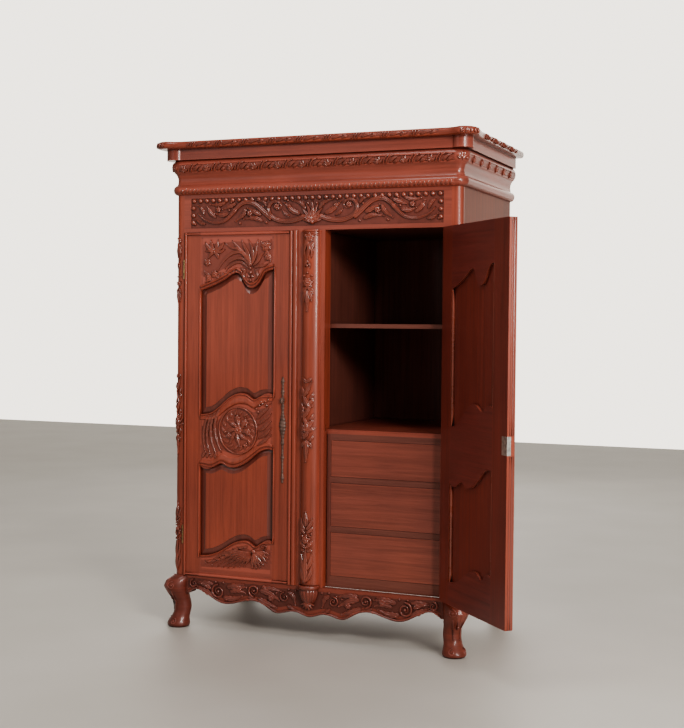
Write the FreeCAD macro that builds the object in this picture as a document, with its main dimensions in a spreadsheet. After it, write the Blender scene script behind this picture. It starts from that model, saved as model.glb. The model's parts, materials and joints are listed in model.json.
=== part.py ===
import FreeCAD, Part
import math
import os
import re

# Two-door carved armoire. Millimetres, +Z up, front towards -Y, origin on the floor
# at the middle of the carcass. Everything is drawn with the doors shut; the right door
# is then placed as it rests, swung open about its hinge pins.

DIMENSIONS = {
    "body_width": 1296,
    "body_depth": 720,
    "body_low": 230,
    "body_high": 1882,
    "frieze_low": 1720,
    "frieze_panel_width": 1144,
    "frieze_panel_low": 1738,
    "frieze_panel_high": 1866,
    "frieze_recess": 12,
    "frieze_panel_sink": 3,
    "post_width": 42,
    "post_depth": 33,
    "post_radius": 27,
    "rail_thickness": 30,
    "side_thickness": 20,
    "back_thickness": 9,
    "back_inset": 6,
    "board_thickness": 18,
    "floor_thickness": 14,
    "ceiling_rise": 2,
    "partition_thickness": 20,
    "centre_post_width": 120,
    "pilaster_width": 82,
    "pilaster_rise": 28,
    "pilaster_foot": 10,
    "ring_height": 18,
    "ring_fillet": 3,
    "ring_swell": 7,
    "drop_height": 98,
    "door_width": 542,
    "door_low": 231,
    "door_high": 1719,
    "door_thickness": 30,
    "hinge_stile_width": 82,
    "lock_stile_width": 112,
    "door_bead_width": 13,
    "hinge_edge_flat": 3,
    "closing_bead_width": 39,
    "inner_closing_bead": 14,
    "bead_rise": 8,
    "panel_thickness": 9,
    "panel_tongue": 9,
    "panel_slack": 0.5,
    "field_rise": 5,
    "field_margin": 24,
    "hinge_gap": 1,
    "pin_forward": 4.5,
    "pin_radius": 1.5,
    "knuckle_radius": 3.5,
    "knuckle_clearance": 0.3,
    "pin_clearance": 0.05,
    "hinge_length": 80,
    "upper_hinge": 1561,
    "lower_hinge": 409,
    "leaf_depth": 26,
    "leaf_thickness": 2,
    "door_open_angle": 134,
    "lock_height": 897,
    "lock_case_height": 69,
    "lock_case_width": 40,
    "lock_case_depth": 16,
    "bolt_height": 24,
    "bolt_thickness": 6,
    "bolt_throw": 9,
    "bolt_set_in": 16,
    "bolt_recess": 1,
    "bolt_play": 0.4,
    "channel_spare": 4,
    "mortise_spare": 3,
    "mortise_play": 1,
    "mortise_end_play": 2,
    "escutcheon_low": 659,
    "escutcheon_thickness": 3,
    "escutcheon_inset": 27,
    "keyhole_radius": 3.5,
    "knob_height": 1007,
    "knob_radius": 7,
    "knob_reach": 14,
    "shelf_top": 1332,
    "shelf_pin_inset": 60,
    "shelf_pin_radius": 4,
    "shelf_pin_length": 12,
    "counter_top": 891,
    "counter_gap": 1,
    "case_left": 64,
    "case_inner_left": 80,
    "case_inner_right": 562,
    "dust_board_thickness": 24,
    "lowest_dust_board": 33,
    "drawer_height": 184,
    "top_drawer_height": 154,
    "drawer_front_thickness": 18,
    "drawer_side_thickness": 12,
    "drawer_side_drop": 24,
    "drawer_side_gap": 3,
    "drawer_bottom_thickness": 8,
    "drawer_bottom_rise": 8,
    "drawer_clearance": 1.5,
    "drawer_length": 600,
    "leg_block": 70,
    "leg_block_low": 150,
    "apron_thickness": 25,
    "crown_inner_step": 20,
    "crown_glue_block": 60,
    "bead_high": 1925,
    "cove_high": 1975,
    "torus_high": 2031,
    "band_high": 2077,
    "total_height": 2107,
    "crown_bead_swell": 20,
    "cove_foot": 4,
    "cove_rise": 24,
    "cove_lip": 11,
    "torus_step": 12,
    "torus_swell": 24,
    "band_overhang": 24,
    "top_width": 1410,
    "top_overhang": 58,
    "rear_overhang": 10,
    "ear_reach": 15,
    "ear_forward": 22,
    "ear_radius": 60,
    "ear_length": 190,
    "block_radius": 44,
    "block_side_inset": 2,
    "block_front_inset": 6,
    "hanging_rail_radius": 12.5,
    "hanging_rail_height": 1610,
    "hanging_rail_back": 10,
    "socket_depth": 12,
    "socket_wall": 8,
}

doc = FreeCAD.newDocument("Armoire")
sheet = doc.addObject("Spreadsheet::Sheet", "Dimensions")
for row, (alias, number) in enumerate(DIMENSIONS.items(), 1):
    sheet.set("A%d" % row, alias)
    sheet.set("B%d" % row, str(number))
    sheet.setAlias("B%d" % row, alias)
doc.recompute()
size = {alias: float(sheet.get(alias)) for alias in DIMENSIONS}

FRONT = -size["body_depth"] / 2
REAR = -FRONT
SIDE = size["body_width"] / 2
INNER = SIDE - size["side_thickness"]
BEHIND = FRONT + size["post_depth"]
BACK = REAR - size["back_inset"] - size["back_thickness"]
HINGE_X = SIDE - size["post_width"] - size["hinge_gap"]
HINGE_Y = FRONT - size["pin_forward"]
HINGE_HEIGHTS = (size["lower_hinge"], size["upper_hinge"])
KNUCKLES = 5
WORLD = FreeCAD.Placement()

parts = []


def vector(x, y, z=0.0):
    return FreeCAD.Vector(x, y, z)


def formula(text):
    """An expression in which the sheet's aliases are written without the sheet's name."""
    return re.sub(r"[a-z_]+", lambda word: "Dimensions." + word.group(0), text)


def bind(thing, **sizes):
    for name, text in sizes.items():
        thing.setExpression(name, formula(text))


def keep(thing, label, frame=None):
    thing.Label = label
    if frame is not None:
        thing.Placement = frame
    parts.append(thing)
    return thing


def box(name, corner, length, width, height, frame=WORLD):
    """A plain board: its lowest corner, and its three sizes as expressions."""
    thing = doc.addObject("Part::Box", name)
    bind(thing, Length=length, Width=width, Height=height)
    thing.Placement = frame.multiply(FreeCAD.Placement(vector(*corner), FreeCAD.Rotation()))
    return thing


def board(label, corner, length, width, height, frame=WORLD):
    return keep(box(label, corner, length, width, height, frame), label)


def cylinder(name, centre, radius, height, axis=vector(0, 0, 1), frame=WORLD):
    thing = doc.addObject("Part::Cylinder", name)
    bind(thing, Radius=radius, Height=height)
    turn = FreeCAD.Rotation(vector(0, 0, 1), axis)
    thing.Placement = frame.multiply(FreeCAD.Placement(vector(*centre), turn))
    return thing


def group(label, things):
    """Separate solids of one kind that share a node."""
    together = doc.addObject("Part::Compound", label)
    together.Links = things
    return keep(together, label)


def cut(label, base, tools):
    """A piece with holes or mortises, kept as a boolean of the document."""
    if len(tools) > 1:
        joined = doc.addObject("Part::MultiFuse", label + "_tools")
        joined.Shapes = tools
        tools = [joined]
    made = doc.addObject("Part::Cut", label)
    made.Base = base
    made.Tool = tools[0]
    return keep(made, label)


def new_body(label, frame=WORLD):
    body = doc.addObject("PartDesign::Body", label)
    return keep(body, label, frame)


def origin_plane(body, role):
    return next(f for f in body.Origin.OriginFeatures if f.Role == role)


def sketch(body, name, role, edges, offset=0.0):
    """A sketch on one of the body's origin planes, moved along that plane's normal."""
    made = body.newObject("Sketcher::SketchObject", name)
    made.AttachmentSupport = [(origin_plane(body, role), "")]
    made.MapMode = "FlatFace"
    made.AttachmentOffset = FreeCAD.Placement(vector(0, 0, offset), FreeCAD.Rotation())
    for edge in edges:
        made.addGeometry(edge, False)
    return made


def pad(body, profile, length, towards_back=False, middle=False):
    made = body.newObject("PartDesign::Pad", profile.Name + "_pad")
    made.Profile = profile
    made.Reversed = towards_back
    made.SideType = "Symmetric" if middle else "One side"
    made.setExpression("Length", formula(length))
    return made


def pocket(body, profile, length, towards_back=False, middle=False):
    made = body.newObject("PartDesign::Pocket", profile.Name + "_pocket")
    made.Profile = profile
    made.Reversed = not towards_back
    made.SideType = "Symmetric" if middle else "One side"
    made.setExpression("Length", formula(length))
    return made


def polyline(points):
    """Straight edges through the points, closed."""
    return [
        Part.LineSegment(vector(*a), vector(*b))
        for a, b in zip(points, points[1:] + points[:1])
    ]


def rectangle(x0, y0, x1, y1):
    return polyline([(x0, y0), (x1, y0), (x1, y1), (x0, y1)])


def line(a, b):
    return Part.LineSegment(vector(*a), vector(*b))


def arc(a, b, c):
    return Part.Arc(vector(*a), vector(*b), vector(*c))


def spline(points):
    curve = Part.BSplineCurve()
    curve.interpolate([vector(*p) for p in points])
    return curve


def full_circle(x, y, radius):
    return Part.Circle(vector(x, y), vector(0, 0, 1), radius)


# ---------------------------------------------------------------- carcass


def front_post(label, side):
    """A corner post with a rounded outer edge and two mortises for the hinge leaves."""
    inner = side * (SIDE - size["post_width"])
    outer = side * SIDE
    radius = size["post_radius"]
    lean = radius * (1 - math.sqrt(0.5))
    body = new_body(label)
    outline = [
        line((inner, BEHIND), (inner, FRONT)),
        line((inner, FRONT), (outer - side * radius, FRONT)),
        arc(
            (outer - side * radius, FRONT),
            (outer - side * lean, FRONT + lean),
            (outer, FRONT + radius),
        ),
        line((outer, FRONT + radius), (outer, BEHIND)),
        line((outer, BEHIND), (inner, BEHIND)),
    ]
    section = sketch(body, label + "_section", "XY_Plane", outline, size["body_low"])
    pad(body, section, "body_high - body_low")
    half = size["hinge_length"] / 2
    for n, height in enumerate(HINGE_HEIGHTS):
        leaf = rectangle(
            inner, FRONT, inner + side * size["leaf_thickness"], FRONT + size["leaf_depth"]
        )
        name = "%s_mortise_%d" % (label, n)
        seat = sketch(body, name, "XY_Plane", leaf, height - half)
        pocket(body, seat, "hinge_length")


def carcass_panels():
    low = size["body_low"]
    tall = "body_high - body_low"
    for label, x in (("side_panel_left", -SIDE), ("side_panel_right", INNER)):
        board(label, (x, BEHIND, low), "side_thickness", "body_depth - post_depth", tall)
    span = "body_width - 2 * side_thickness"
    deep = "body_depth - post_depth - back_inset - back_thickness"
    board("back_panel", (-INNER, BACK, low), span, "back_thickness", "band_high - body_low")
    blank = box("bottom_blank", (-INNER, BEHIND, low), span, deep, "floor_thickness")
    notch = box(
        "centre_post_notch",
        (-size["centre_post_width"] / 2, BEHIND, low),
        "centre_post_width",
        "2 * rail_thickness - post_depth",
        "floor_thickness",
    )
    cut("bottom_board", blank, [notch])
    ceiling = size["frieze_low"] + size["ceiling_rise"]
    board("ceiling_board", (-INNER, BEHIND, ceiling), span, deep, "board_thickness")
    partition_low = low + size["floor_thickness"]
    front = FRONT + 2 * size["rail_thickness"]
    board(
        "partition",
        (-size["partition_thickness"] / 2, front, partition_low),
        "partition_thickness",
        "body_depth - 2 * rail_thickness - back_inset - back_thickness",
        "frieze_low + ceiling_rise - body_low - floor_thickness",
    )


def frieze():
    half = SIDE - size["post_width"]
    body = new_body("frieze_rail")
    outline = rectangle(-half, size["frieze_low"], half, size["body_high"])
    pad(body, sketch(body, "frieze_outline", "XZ_Plane", outline, -FRONT), "rail_thickness", True)
    wide = size["frieze_panel_width"] / 2
    recess = rectangle(-wide, size["frieze_panel_low"], wide, size["frieze_panel_high"])
    seat = sketch(body, "frieze_recess", "XZ_Plane", recess, -FRONT)
    pocket(body, seat, "frieze_recess", True)
    board(
        "frieze_panel",
        (-wide, FRONT + size["frieze_panel_sink"], size["frieze_panel_low"]),
        "frieze_panel_width",
        "frieze_recess - frieze_panel_sink",
        "frieze_panel_high - frieze_panel_low",
    )


def centre_post():
    """The fixed post between the doors, with a mortise on each side for a lock bolt."""
    half = size["centre_post_width"] / 2
    post = box(
        "centre_post_blank",
        (-half, FRONT, size["body_low"]),
        "centre_post_width",
        "2 * rail_thickness",
        "frieze_low - body_low",
    )
    deep = size["bolt_throw"] + size["mortise_spare"]
    middle = FRONT + size["door_thickness"] - size["lock_case_depth"] / 2
    tools = []
    for side in (-1, 1):
        tools.append(
            box(
                "bolt_mortise_%s" % ("left" if side < 0 else "right"),
                (
                    side * half - (0 if side < 0 else deep),
                    middle - size["bolt_thickness"] / 2 - size["mortise_play"],
                    size["lock_height"] - size["bolt_height"] / 2 - size["mortise_end_play"],
                ),
                "bolt_throw + mortise_spare",
                "bolt_thickness + 2 * mortise_play",
                "bolt_height + 2 * mortise_end_play",
            )
        )
    cut("centre_post", post, tools)


DROP_PROFILE = [
    # how far in from the shaft's edge, depth below the shaft's foot
    (1, 21),
    (3, 44),
    (13, 70),
    (29, 90),
]


def pilaster():
    """A half-round shaft on the centre post, its ring and its urn-shaped drop."""
    half = size["pilaster_width"] / 2
    rise = size["pilaster_rise"]
    top = size["body_low"] + size["pilaster_foot"]
    body = new_body("pilaster")
    outline = [
        line((half, FRONT), (-half, FRONT)),
        arc((-half, FRONT), (0, FRONT - rise), (half, FRONT)),
    ]
    section = sketch(body, "pilaster_section", "XY_Plane", outline, top)
    pad(body, section, "frieze_low - body_low - pilaster_foot")

    # the drop is turned, then the half behind the post's face is cut away
    drop = new_body("pilaster_drop")
    fillet = half + size["ring_fillet"]
    ring = size["ring_height"]
    bowl = [(half - inset, top - depth) for inset, depth in DROP_PROFILE]
    tip = (0, top - size["drop_height"])
    profile = [
        line((0, top), (fillet, top)),
        arc((fillet, top), (half + size["ring_swell"], top - ring / 2), (fillet, top - ring)),
        line((fillet, top - ring), bowl[0]),
        spline(bowl),
        line(bowl[-1], tip),
        line(tip, (0, top)),
    ]
    turned = sketch(drop, "drop_profile", "XZ_Plane", profile, -FRONT)
    spin = drop.newObject("PartDesign::Revolution", "drop_turning")
    spin.Profile = turned
    spin.ReferenceAxis = (turned, ["V_Axis"])
    spin.Angle = 180
    spin.Reversed = False
    doc.recompute()
    if drop.Shape.BoundBox.YMax > FRONT + 1:
        spin.Reversed = True


APRON_WAVE = [
    # the lower edge from the leg towards the middle: distance from the centre, height
    (578, 152),
    (535, 172),
    (480, 152),
    (410, 121),
    (345, 128),
    (275, 145),
    (215, 134),
    (150, 103),
    (105, 112),
    (60, 116),
    (0, 101),
]
SIDE_APRON_WAVE = [
    # share of the way from the middle to a leg's block, height
    (1, 150),
    (0.55, 168),
    (0, 172),
]


def aprons():
    """The carved front apron, and the plainer ones at the sides and the rear."""
    top = size["body_low"]
    wave = [(-x, z) for x, z in APRON_WAVE] + [(x, z) for x, z in reversed(APRON_WAVE[:-1])]
    left, right = wave[0], wave[-1]
    outline = [
        line((left[0], top), (right[0], top)),
        line((right[0], top), right),
        spline(list(reversed(wave))),
        line(left, (left[0], top)),
    ]
    body = new_body("front_apron")
    pad(body, sketch(body, "apron_outline", "XZ_Plane", outline, -FRONT), "apron_thickness", True)

    reach = REAR - size["leg_block"]
    rear_half = [(reach * share, z) for share, z in SIDE_APRON_WAVE]
    curve = [(-y, z) for y, z in rear_half[:-1]] + rear_half[::-1]
    outline = [
        line((-reach, top), (reach, top)),
        line((reach, top), curve[-1]),
        spline(list(reversed(curve))),
        line(curve[0], (-reach, top)),
    ]
    sides = []
    for name, x in (("side_apron_left", -SIDE), ("side_apron_right", SIDE)):
        side_body = doc.addObject("PartDesign::Body", name)
        profile = sketch(side_body, name + "_outline", "YZ_Plane", outline, x)
        pad(side_body, profile, "apron_thickness", x > 0)
        sides.append(side_body)
    group("side_aprons", sides)
    half = SIDE - size["leg_block"]
    board(
        "rear_rail",
        (-half, REAR - size["apron_thickness"], size["leg_block_low"]),
        "body_width - 2 * leg_block",
        "apron_thickness",
        "body_low - leg_block_low",
    )


LEG_SECTIONS = [
    # height, outward shift from the block's middle, radius
    (0, 19, 42),
    (10, 20, 49),
    (32, 17, 44),
    (66, 8, 37),
    (110, 8, 37),
    (148, 20, 45),
    (180, 27, 51),
    (206, 20, 49),
    (230, 4, 36),
]


def leg(label, side, end):
    """A cabriole leg: a smooth loft through round sections, with a block that carries the post.

    The front legs step out towards the corner. The rear ones step out sideways only, and
    their sections are flattened so that they stay flush with the back.
    """
    half = size["leg_block"] / 2
    x = side * (SIDE - half)
    y = end * (REAR - half)
    body = doc.addObject("PartDesign::Body", label)
    corner = rectangle(x - half, y - half, x + half, y + half)
    block = sketch(body, label + "_block", "XY_Plane", corner, size["leg_block_low"])
    pad(body, block, "body_low - leg_block_low")
    rounds = []
    for n, (height, shift, radius) in enumerate(LEG_SECTIONS):
        if end < 0:
            ring = [full_circle(x + side * shift, y - shift, radius)]
        else:
            centre = vector(x + side * shift, y)
            ring = [Part.Ellipse(centre, max(radius, half + 1), half - 1)]
        rounds.append(sketch(body, "%s_round_%d" % (label, n), "XY_Plane", ring, height))
    loft = body.newObject("PartDesign::AdditiveLoft", label + "_loft")
    loft.Profile = rounds[0]
    loft.Sections = rounds[1:]
    loft.Ruled = False
    return body


# ------------------------------------------------------------------ crown


def crown_path():
    """Round the front and both sides, turning each front corner as the post below it does."""
    radius = size["post_radius"]
    lean = radius * (1 - math.sqrt(0.5))
    turn = SIDE - radius
    back = FRONT + radius
    return [
        line((SIDE, REAR), (SIDE, back)),
        arc((SIDE, back), (SIDE - lean, FRONT + lean), (turn, FRONT)),
        line((turn, FRONT), (-turn, FRONT)),
        arc((-turn, FRONT), (lean - SIDE, FRONT + lean), (-SIDE, back)),
        line((-SIDE, back), (-SIDE, REAR)),
    ]


def crown_ring(label, profile):
    """A moulding that wraps the front and both sides."""
    body = new_body(label)
    path = sketch(body, label + "_path", "XY_Plane", crown_path(), profile[0].StartPoint.y)
    section = sketch(body, label + "_profile", "XZ_Plane", profile, -REAR)
    pipe = body.newObject("PartDesign::AdditivePipe", label + "_run")
    pipe.Profile = section
    pipe.Spine = (path, ["Edge%d" % (n + 1) for n in range(len(crown_path()))])
    return body


def crown():
    inner = SIDE - size["crown_inner_step"]
    low, bead = size["body_high"], size["bead_high"]
    cove, torus = size["cove_high"], size["torus_high"]
    foot = SIDE + size["cove_foot"]
    lip = SIDE + size["cove_lip"]
    step = SIDE + size["torus_step"]
    crown_ring(
        "crown_lower_moulding",
        [
            line((inner, low), (SIDE, low)),
            arc((SIDE, low), (SIDE + size["crown_bead_swell"], (low + bead) / 2), (foot, bead)),
            arc((foot, bead), (SIDE, bead + size["cove_rise"]), (lip, cove)),
            line((lip, cove), (inner, cove)),
            line((inner, cove), (inner, low)),
        ],
    )
    crown_ring(
        "crown_carved_torus",
        [
            line((inner, cove), (step, cove)),
            arc((step, cove), (SIDE + size["torus_swell"], (cove + torus) / 2), (step, torus)),
            line((step, torus), (inner, torus)),
            line((inner, torus), (inner, cove)),
        ],
    )
    crown_band(inner)
    top_board()


def crown_band(inner):
    """The plain flat band, and the turned blocks that stand at its two front corners."""
    out = size["band_overhang"]
    low = size["torus_high"]
    behind = FRONT + size["crown_inner_step"]
    block = size["crown_glue_block"]
    outline = polyline(
        [
            (SIDE + out, REAR),
            (SIDE + out, FRONT - out),
            (-SIDE - out, FRONT - out),
            (-SIDE - out, REAR),
            (-inner, REAR),
            (-inner, behind + block),
            (-inner + block, behind),
            (inner - block, behind),
            (inner, behind + block),
            (inner, REAR),
        ]
    )
    body = new_body("crown_band")
    pad(body, sketch(body, "band_outline", "XY_Plane", outline, low), "band_high - torus_high")
    blocks = []
    for name, side in (("left", -1), ("right", 1)):
        x, y = side * (SIDE - size["block_side_inset"]), FRONT + size["block_front_inset"]
        reach = size["block_radius"] * 2
        round_seat = full_circle(x, y, size["block_radius"])
        hole = sketch(body, "block_seat_" + name, "XY_Plane", [round_seat], low)
        pocket(body, hole, "band_high - torus_high")
        spur = rectangle(x, y, x + side * reach, y - reach)
        trim = sketch(body, "corner_trim_" + name, "XY_Plane", spur, low)
        pocket(body, trim, "band_high - torus_high")
        blocks.append(
            cylinder("block_" + name, (x, y, low), "block_radius", "band_high - torus_high")
        )
    group("crown_corner_blocks", blocks)


def top_board():
    """The top board: straight edges, and a rounded ear over each corner block."""
    half = size["top_width"] / 2
    ear = half + size["ear_reach"]
    front = FRONT - size["top_overhang"]
    nose = front - size["ear_forward"]
    rear = REAR + size["rear_overhang"]
    radius = size["ear_radius"]
    lean = radius * (1 - math.sqrt(0.5))
    start = ear - radius
    shoulder = nose + size["ear_length"]

    def lobe(side):
        """One ear, from the front edge round to the side edge."""
        return [
            spline(
                [
                    (side * (start - radius), front),
                    (side * (start - radius / 2), (front + nose) / 2),
                    (side * start, nose),
                ]
            ),
            arc(
                (side * start, nose),
                (side * (ear - lean), nose + lean),
                (side * ear, nose + radius),
            ),
            spline(
                [
                    (side * ear, nose + radius),
                    (side * (ear - size["ear_reach"] / 2), (nose + radius + shoulder) / 2),
                    (side * half, shoulder),
                ]
            ),
        ]

    outline = [
        line((radius - start, front), (start - radius, front)),
        *lobe(1),
        line((half, shoulder), (half, rear)),
        line((half, rear), (-half, rear)),
        line((-half, rear), (-half, shoulder)),
        *lobe(-1),
    ]
    body = new_body("top_board")
    section = sketch(body, "top_outline", "XY_Plane", outline, size["band_high"])
    pad(body, section, "total_height - band_high")


# --------------------------------------------------------------- interior


def interior():
    """Shelf, counter, drawer case and hanging rail."""
    left = size["partition_thickness"] / 2
    thick = size["board_thickness"]
    span = "body_width / 2 - side_thickness - partition_thickness / 2"
    deep = "body_depth - 2 * rail_thickness - back_inset - back_thickness"
    front = FRONT + 2 * size["rail_thickness"]
    board("upper_shelf", (left, front, size["shelf_top"] - thick), span, deep, "board_thickness")
    pins = []
    inset, radius = size["shelf_pin_inset"], size["shelf_pin_radius"]
    for n, (x, way) in enumerate(((left, 1), (INNER, -1))):
        for m, y in enumerate((front + inset, BACK - inset)):
            name = "shelf_pin_%d%d" % (n, m)
            centre = (x, y, size["shelf_top"] - thick - radius)
            along = vector(way, 0, 0)
            pins.append(cylinder(name, centre, "shelf_pin_radius", "shelf_pin_length", along))
    group("shelf_pins", pins)

    body = new_body("counter_board")
    post_side = size["centre_post_width"] / 2 + size["counter_gap"]
    outline = polyline(
        [
            (post_side, BEHIND),
            (INNER, BEHIND),
            (INNER, BACK),
            (left, BACK),
            (left, front),
            (post_side, front),
        ]
    )
    plan = sketch(body, "counter_plan", "XY_Plane", outline, size["counter_top"] - thick)
    pad(body, plan, "board_thickness")


def drawer_levels():
    """The undersides of the three drawer openings, from the lowest up."""
    first = size["body_low"] + size["floor_thickness"] + size["lowest_dust_board"]
    step = size["drawer_height"] + size["dust_board_thickness"]
    return [first, first + step, first + 2 * step]


def drawer_case():
    low = size["body_low"] + size["floor_thickness"]
    left, right = size["case_left"], size["case_inner_right"]
    tall = "counter_top - board_thickness - body_low - floor_thickness"
    deep = "body_depth - post_depth - back_inset - back_thickness"
    cheeks = [
        box("case_cheek_left", (left, BEHIND, low), "case_inner_left - case_left", deep, tall),
        box("case_cheek_right", (right, BEHIND, low), "side_thickness", deep, tall),
    ]
    group("drawer_case_sides", cheeks)
    left = size["case_inner_left"]
    wide = "case_inner_right - case_inner_left"
    levels = drawer_levels()
    boards = [box("dust_board_0", (left, BEHIND, low), wide, deep, "lowest_dust_board")]
    for n, level in enumerate(levels[1:], 1):
        corner = (left, BEHIND, level - size["dust_board_thickness"])
        boards.append(box("dust_board_%d" % n, corner, wide, deep, "dust_board_thickness"))
    top = levels[2] + size["top_drawer_height"]
    filler = doc.addObject("Part::Box", "dust_board_3")
    filler.Height = size["counter_top"] - size["board_thickness"] - top
    bind(filler, Length=wide, Width=deep)
    filler.Placement.Base = vector(left, BEHIND, top)
    boards.append(filler)
    group("drawer_dust_boards", boards)


def drawer(name, level, opening):
    """A drawer: its front, and the sides, back and bottom behind it."""
    gap = size["drawer_clearance"]
    left = size["case_inner_left"] + gap
    wide = size["case_inner_right"] - size["case_inner_left"] - 2 * gap
    low = level + gap
    front = doc.addObject("Part::Box", name + "_front")
    front.Height = opening - 2 * gap
    bind(front, Length="case_inner_right - case_inner_left - 2 * drawer_clearance")
    bind(front, Width="drawer_front_thickness")
    front.Placement.Base = vector(left, BEHIND, low)
    keep(front, name + "_front")

    thick = size["drawer_side_thickness"]
    apart = size["drawer_side_gap"]
    start = BEHIND + size["drawer_front_thickness"]
    side_tall = opening - size["drawer_side_drop"]
    solids = []
    for which, x in (("left", left + apart), ("right", left + wide - apart - thick)):
        side = doc.addObject("Part::Box", "%s_side_%s" % (name, which))
        side.Height = side_tall
        bind(side, Length="drawer_side_thickness", Width="drawer_length")
        side.Placement.Base = vector(x, start, low)
        solids.append(side)
    inner = wide - 2 * apart - 2 * thick
    floor, rise = size["drawer_bottom_thickness"], size["drawer_bottom_rise"]
    for which, y, z, deep, high in (
        ("back", start + size["drawer_length"] - thick, low, thick, side_tall),
        ("bottom", start, low + rise, size["drawer_length"] - thick, floor),
    ):
        piece = doc.addObject("Part::Box", "%s_%s" % (name, which))
        piece.Length = inner
        piece.Width = deep
        piece.Height = high
        piece.Placement.Base = vector(left + apart + thick, y, z)
        solids.append(piece)
    group(name + "_box", solids)


def hanging_rail():
    """A rail across the left compartment, held in a socket at each end."""
    y = size["hanging_rail_back"]
    x = -INNER
    z = size["hanging_rail_height"]
    along = vector(1, 0, 0)
    rail = cylinder(
        "rail_tube",
        (x, y, z),
        "hanging_rail_radius",
        "body_width / 2 - side_thickness - partition_thickness / 2",
        along,
    )
    solids = [rail]
    deep = size["socket_depth"]
    for name, start in (("left", x), ("right", -size["partition_thickness"] / 2 - deep)):
        ring = doc.addObject("Part::Cut", "rail_socket_" + name)
        centre = (start, y, z)
        outer = "hanging_rail_radius + socket_wall"
        ring.Base = cylinder("socket_outer_" + name, centre, outer, "socket_depth", along)
        ring.Tool = cylinder(
            "socket_inner_" + name, centre, "hanging_rail_radius", "socket_depth", along
        )
        solids.append(ring)
    group("hanging_rail", solids)


# ------------------------------------------------------------------ doors

# Door outlines are (distance from the hinge edge, height), the same for both doors.
TOP_CURVE = [
    (0, 1470),
    (48, 1487),
    (98, 1508),
    (145, 1536),
    (172, 1545),
    (196, 1530),
    (212, 1499),
    (237, 1480),
    (266, 1490),
    (288, 1519),
    (306, 1545),
    (348, 1558),
]
MIDDLE_UPPER_CURVE = [
    (0, 936),
    (52, 945),
    (90, 970),
    (134, 1008),
    (180, 1030),
    (224, 1027),
    (258, 1008),
    (290, 1022),
    (348, 1027),
]
MIDDLE_LOWER_CURVE = [
    (0, 712),
    (55, 706),
    (102, 726),
    (132, 714),
    (165, 711),
    (204, 725),
    (250, 757),
    (286, 785),
    (318, 796),
    (348, 794),
]
BOTTOM_CURVE = [
    (0, 322),
    (56, 330),
    (108, 353),
    (160, 385),
    (206, 400),
    (240, 396),
    (268, 379),
    (300, 397),
    (348, 405),
]


ESCUTCHEON_HALVES = [
    # height above the plate's foot, half of its width there
    (0, 3),
    (22, 6),
    (70, 5),
    (112, 8),
    (150, 5),
    (190, 10),
    (240, 14),
    (282, 10),
    (325, 6),
    (360, 8),
    (415, 4),
    (445, 3),
]


def height_at(curve, along):
    """The height of a curve's straight run between the two points round a distance."""
    for (u0, z0), (u1, z1) in zip(curve, curve[1:]):
        if u0 <= along <= u1:
            return z0 + (z1 - z0) * (along - u0) / (u1 - u0)
    raise ValueError("the curve does not reach %s" % along)


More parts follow.
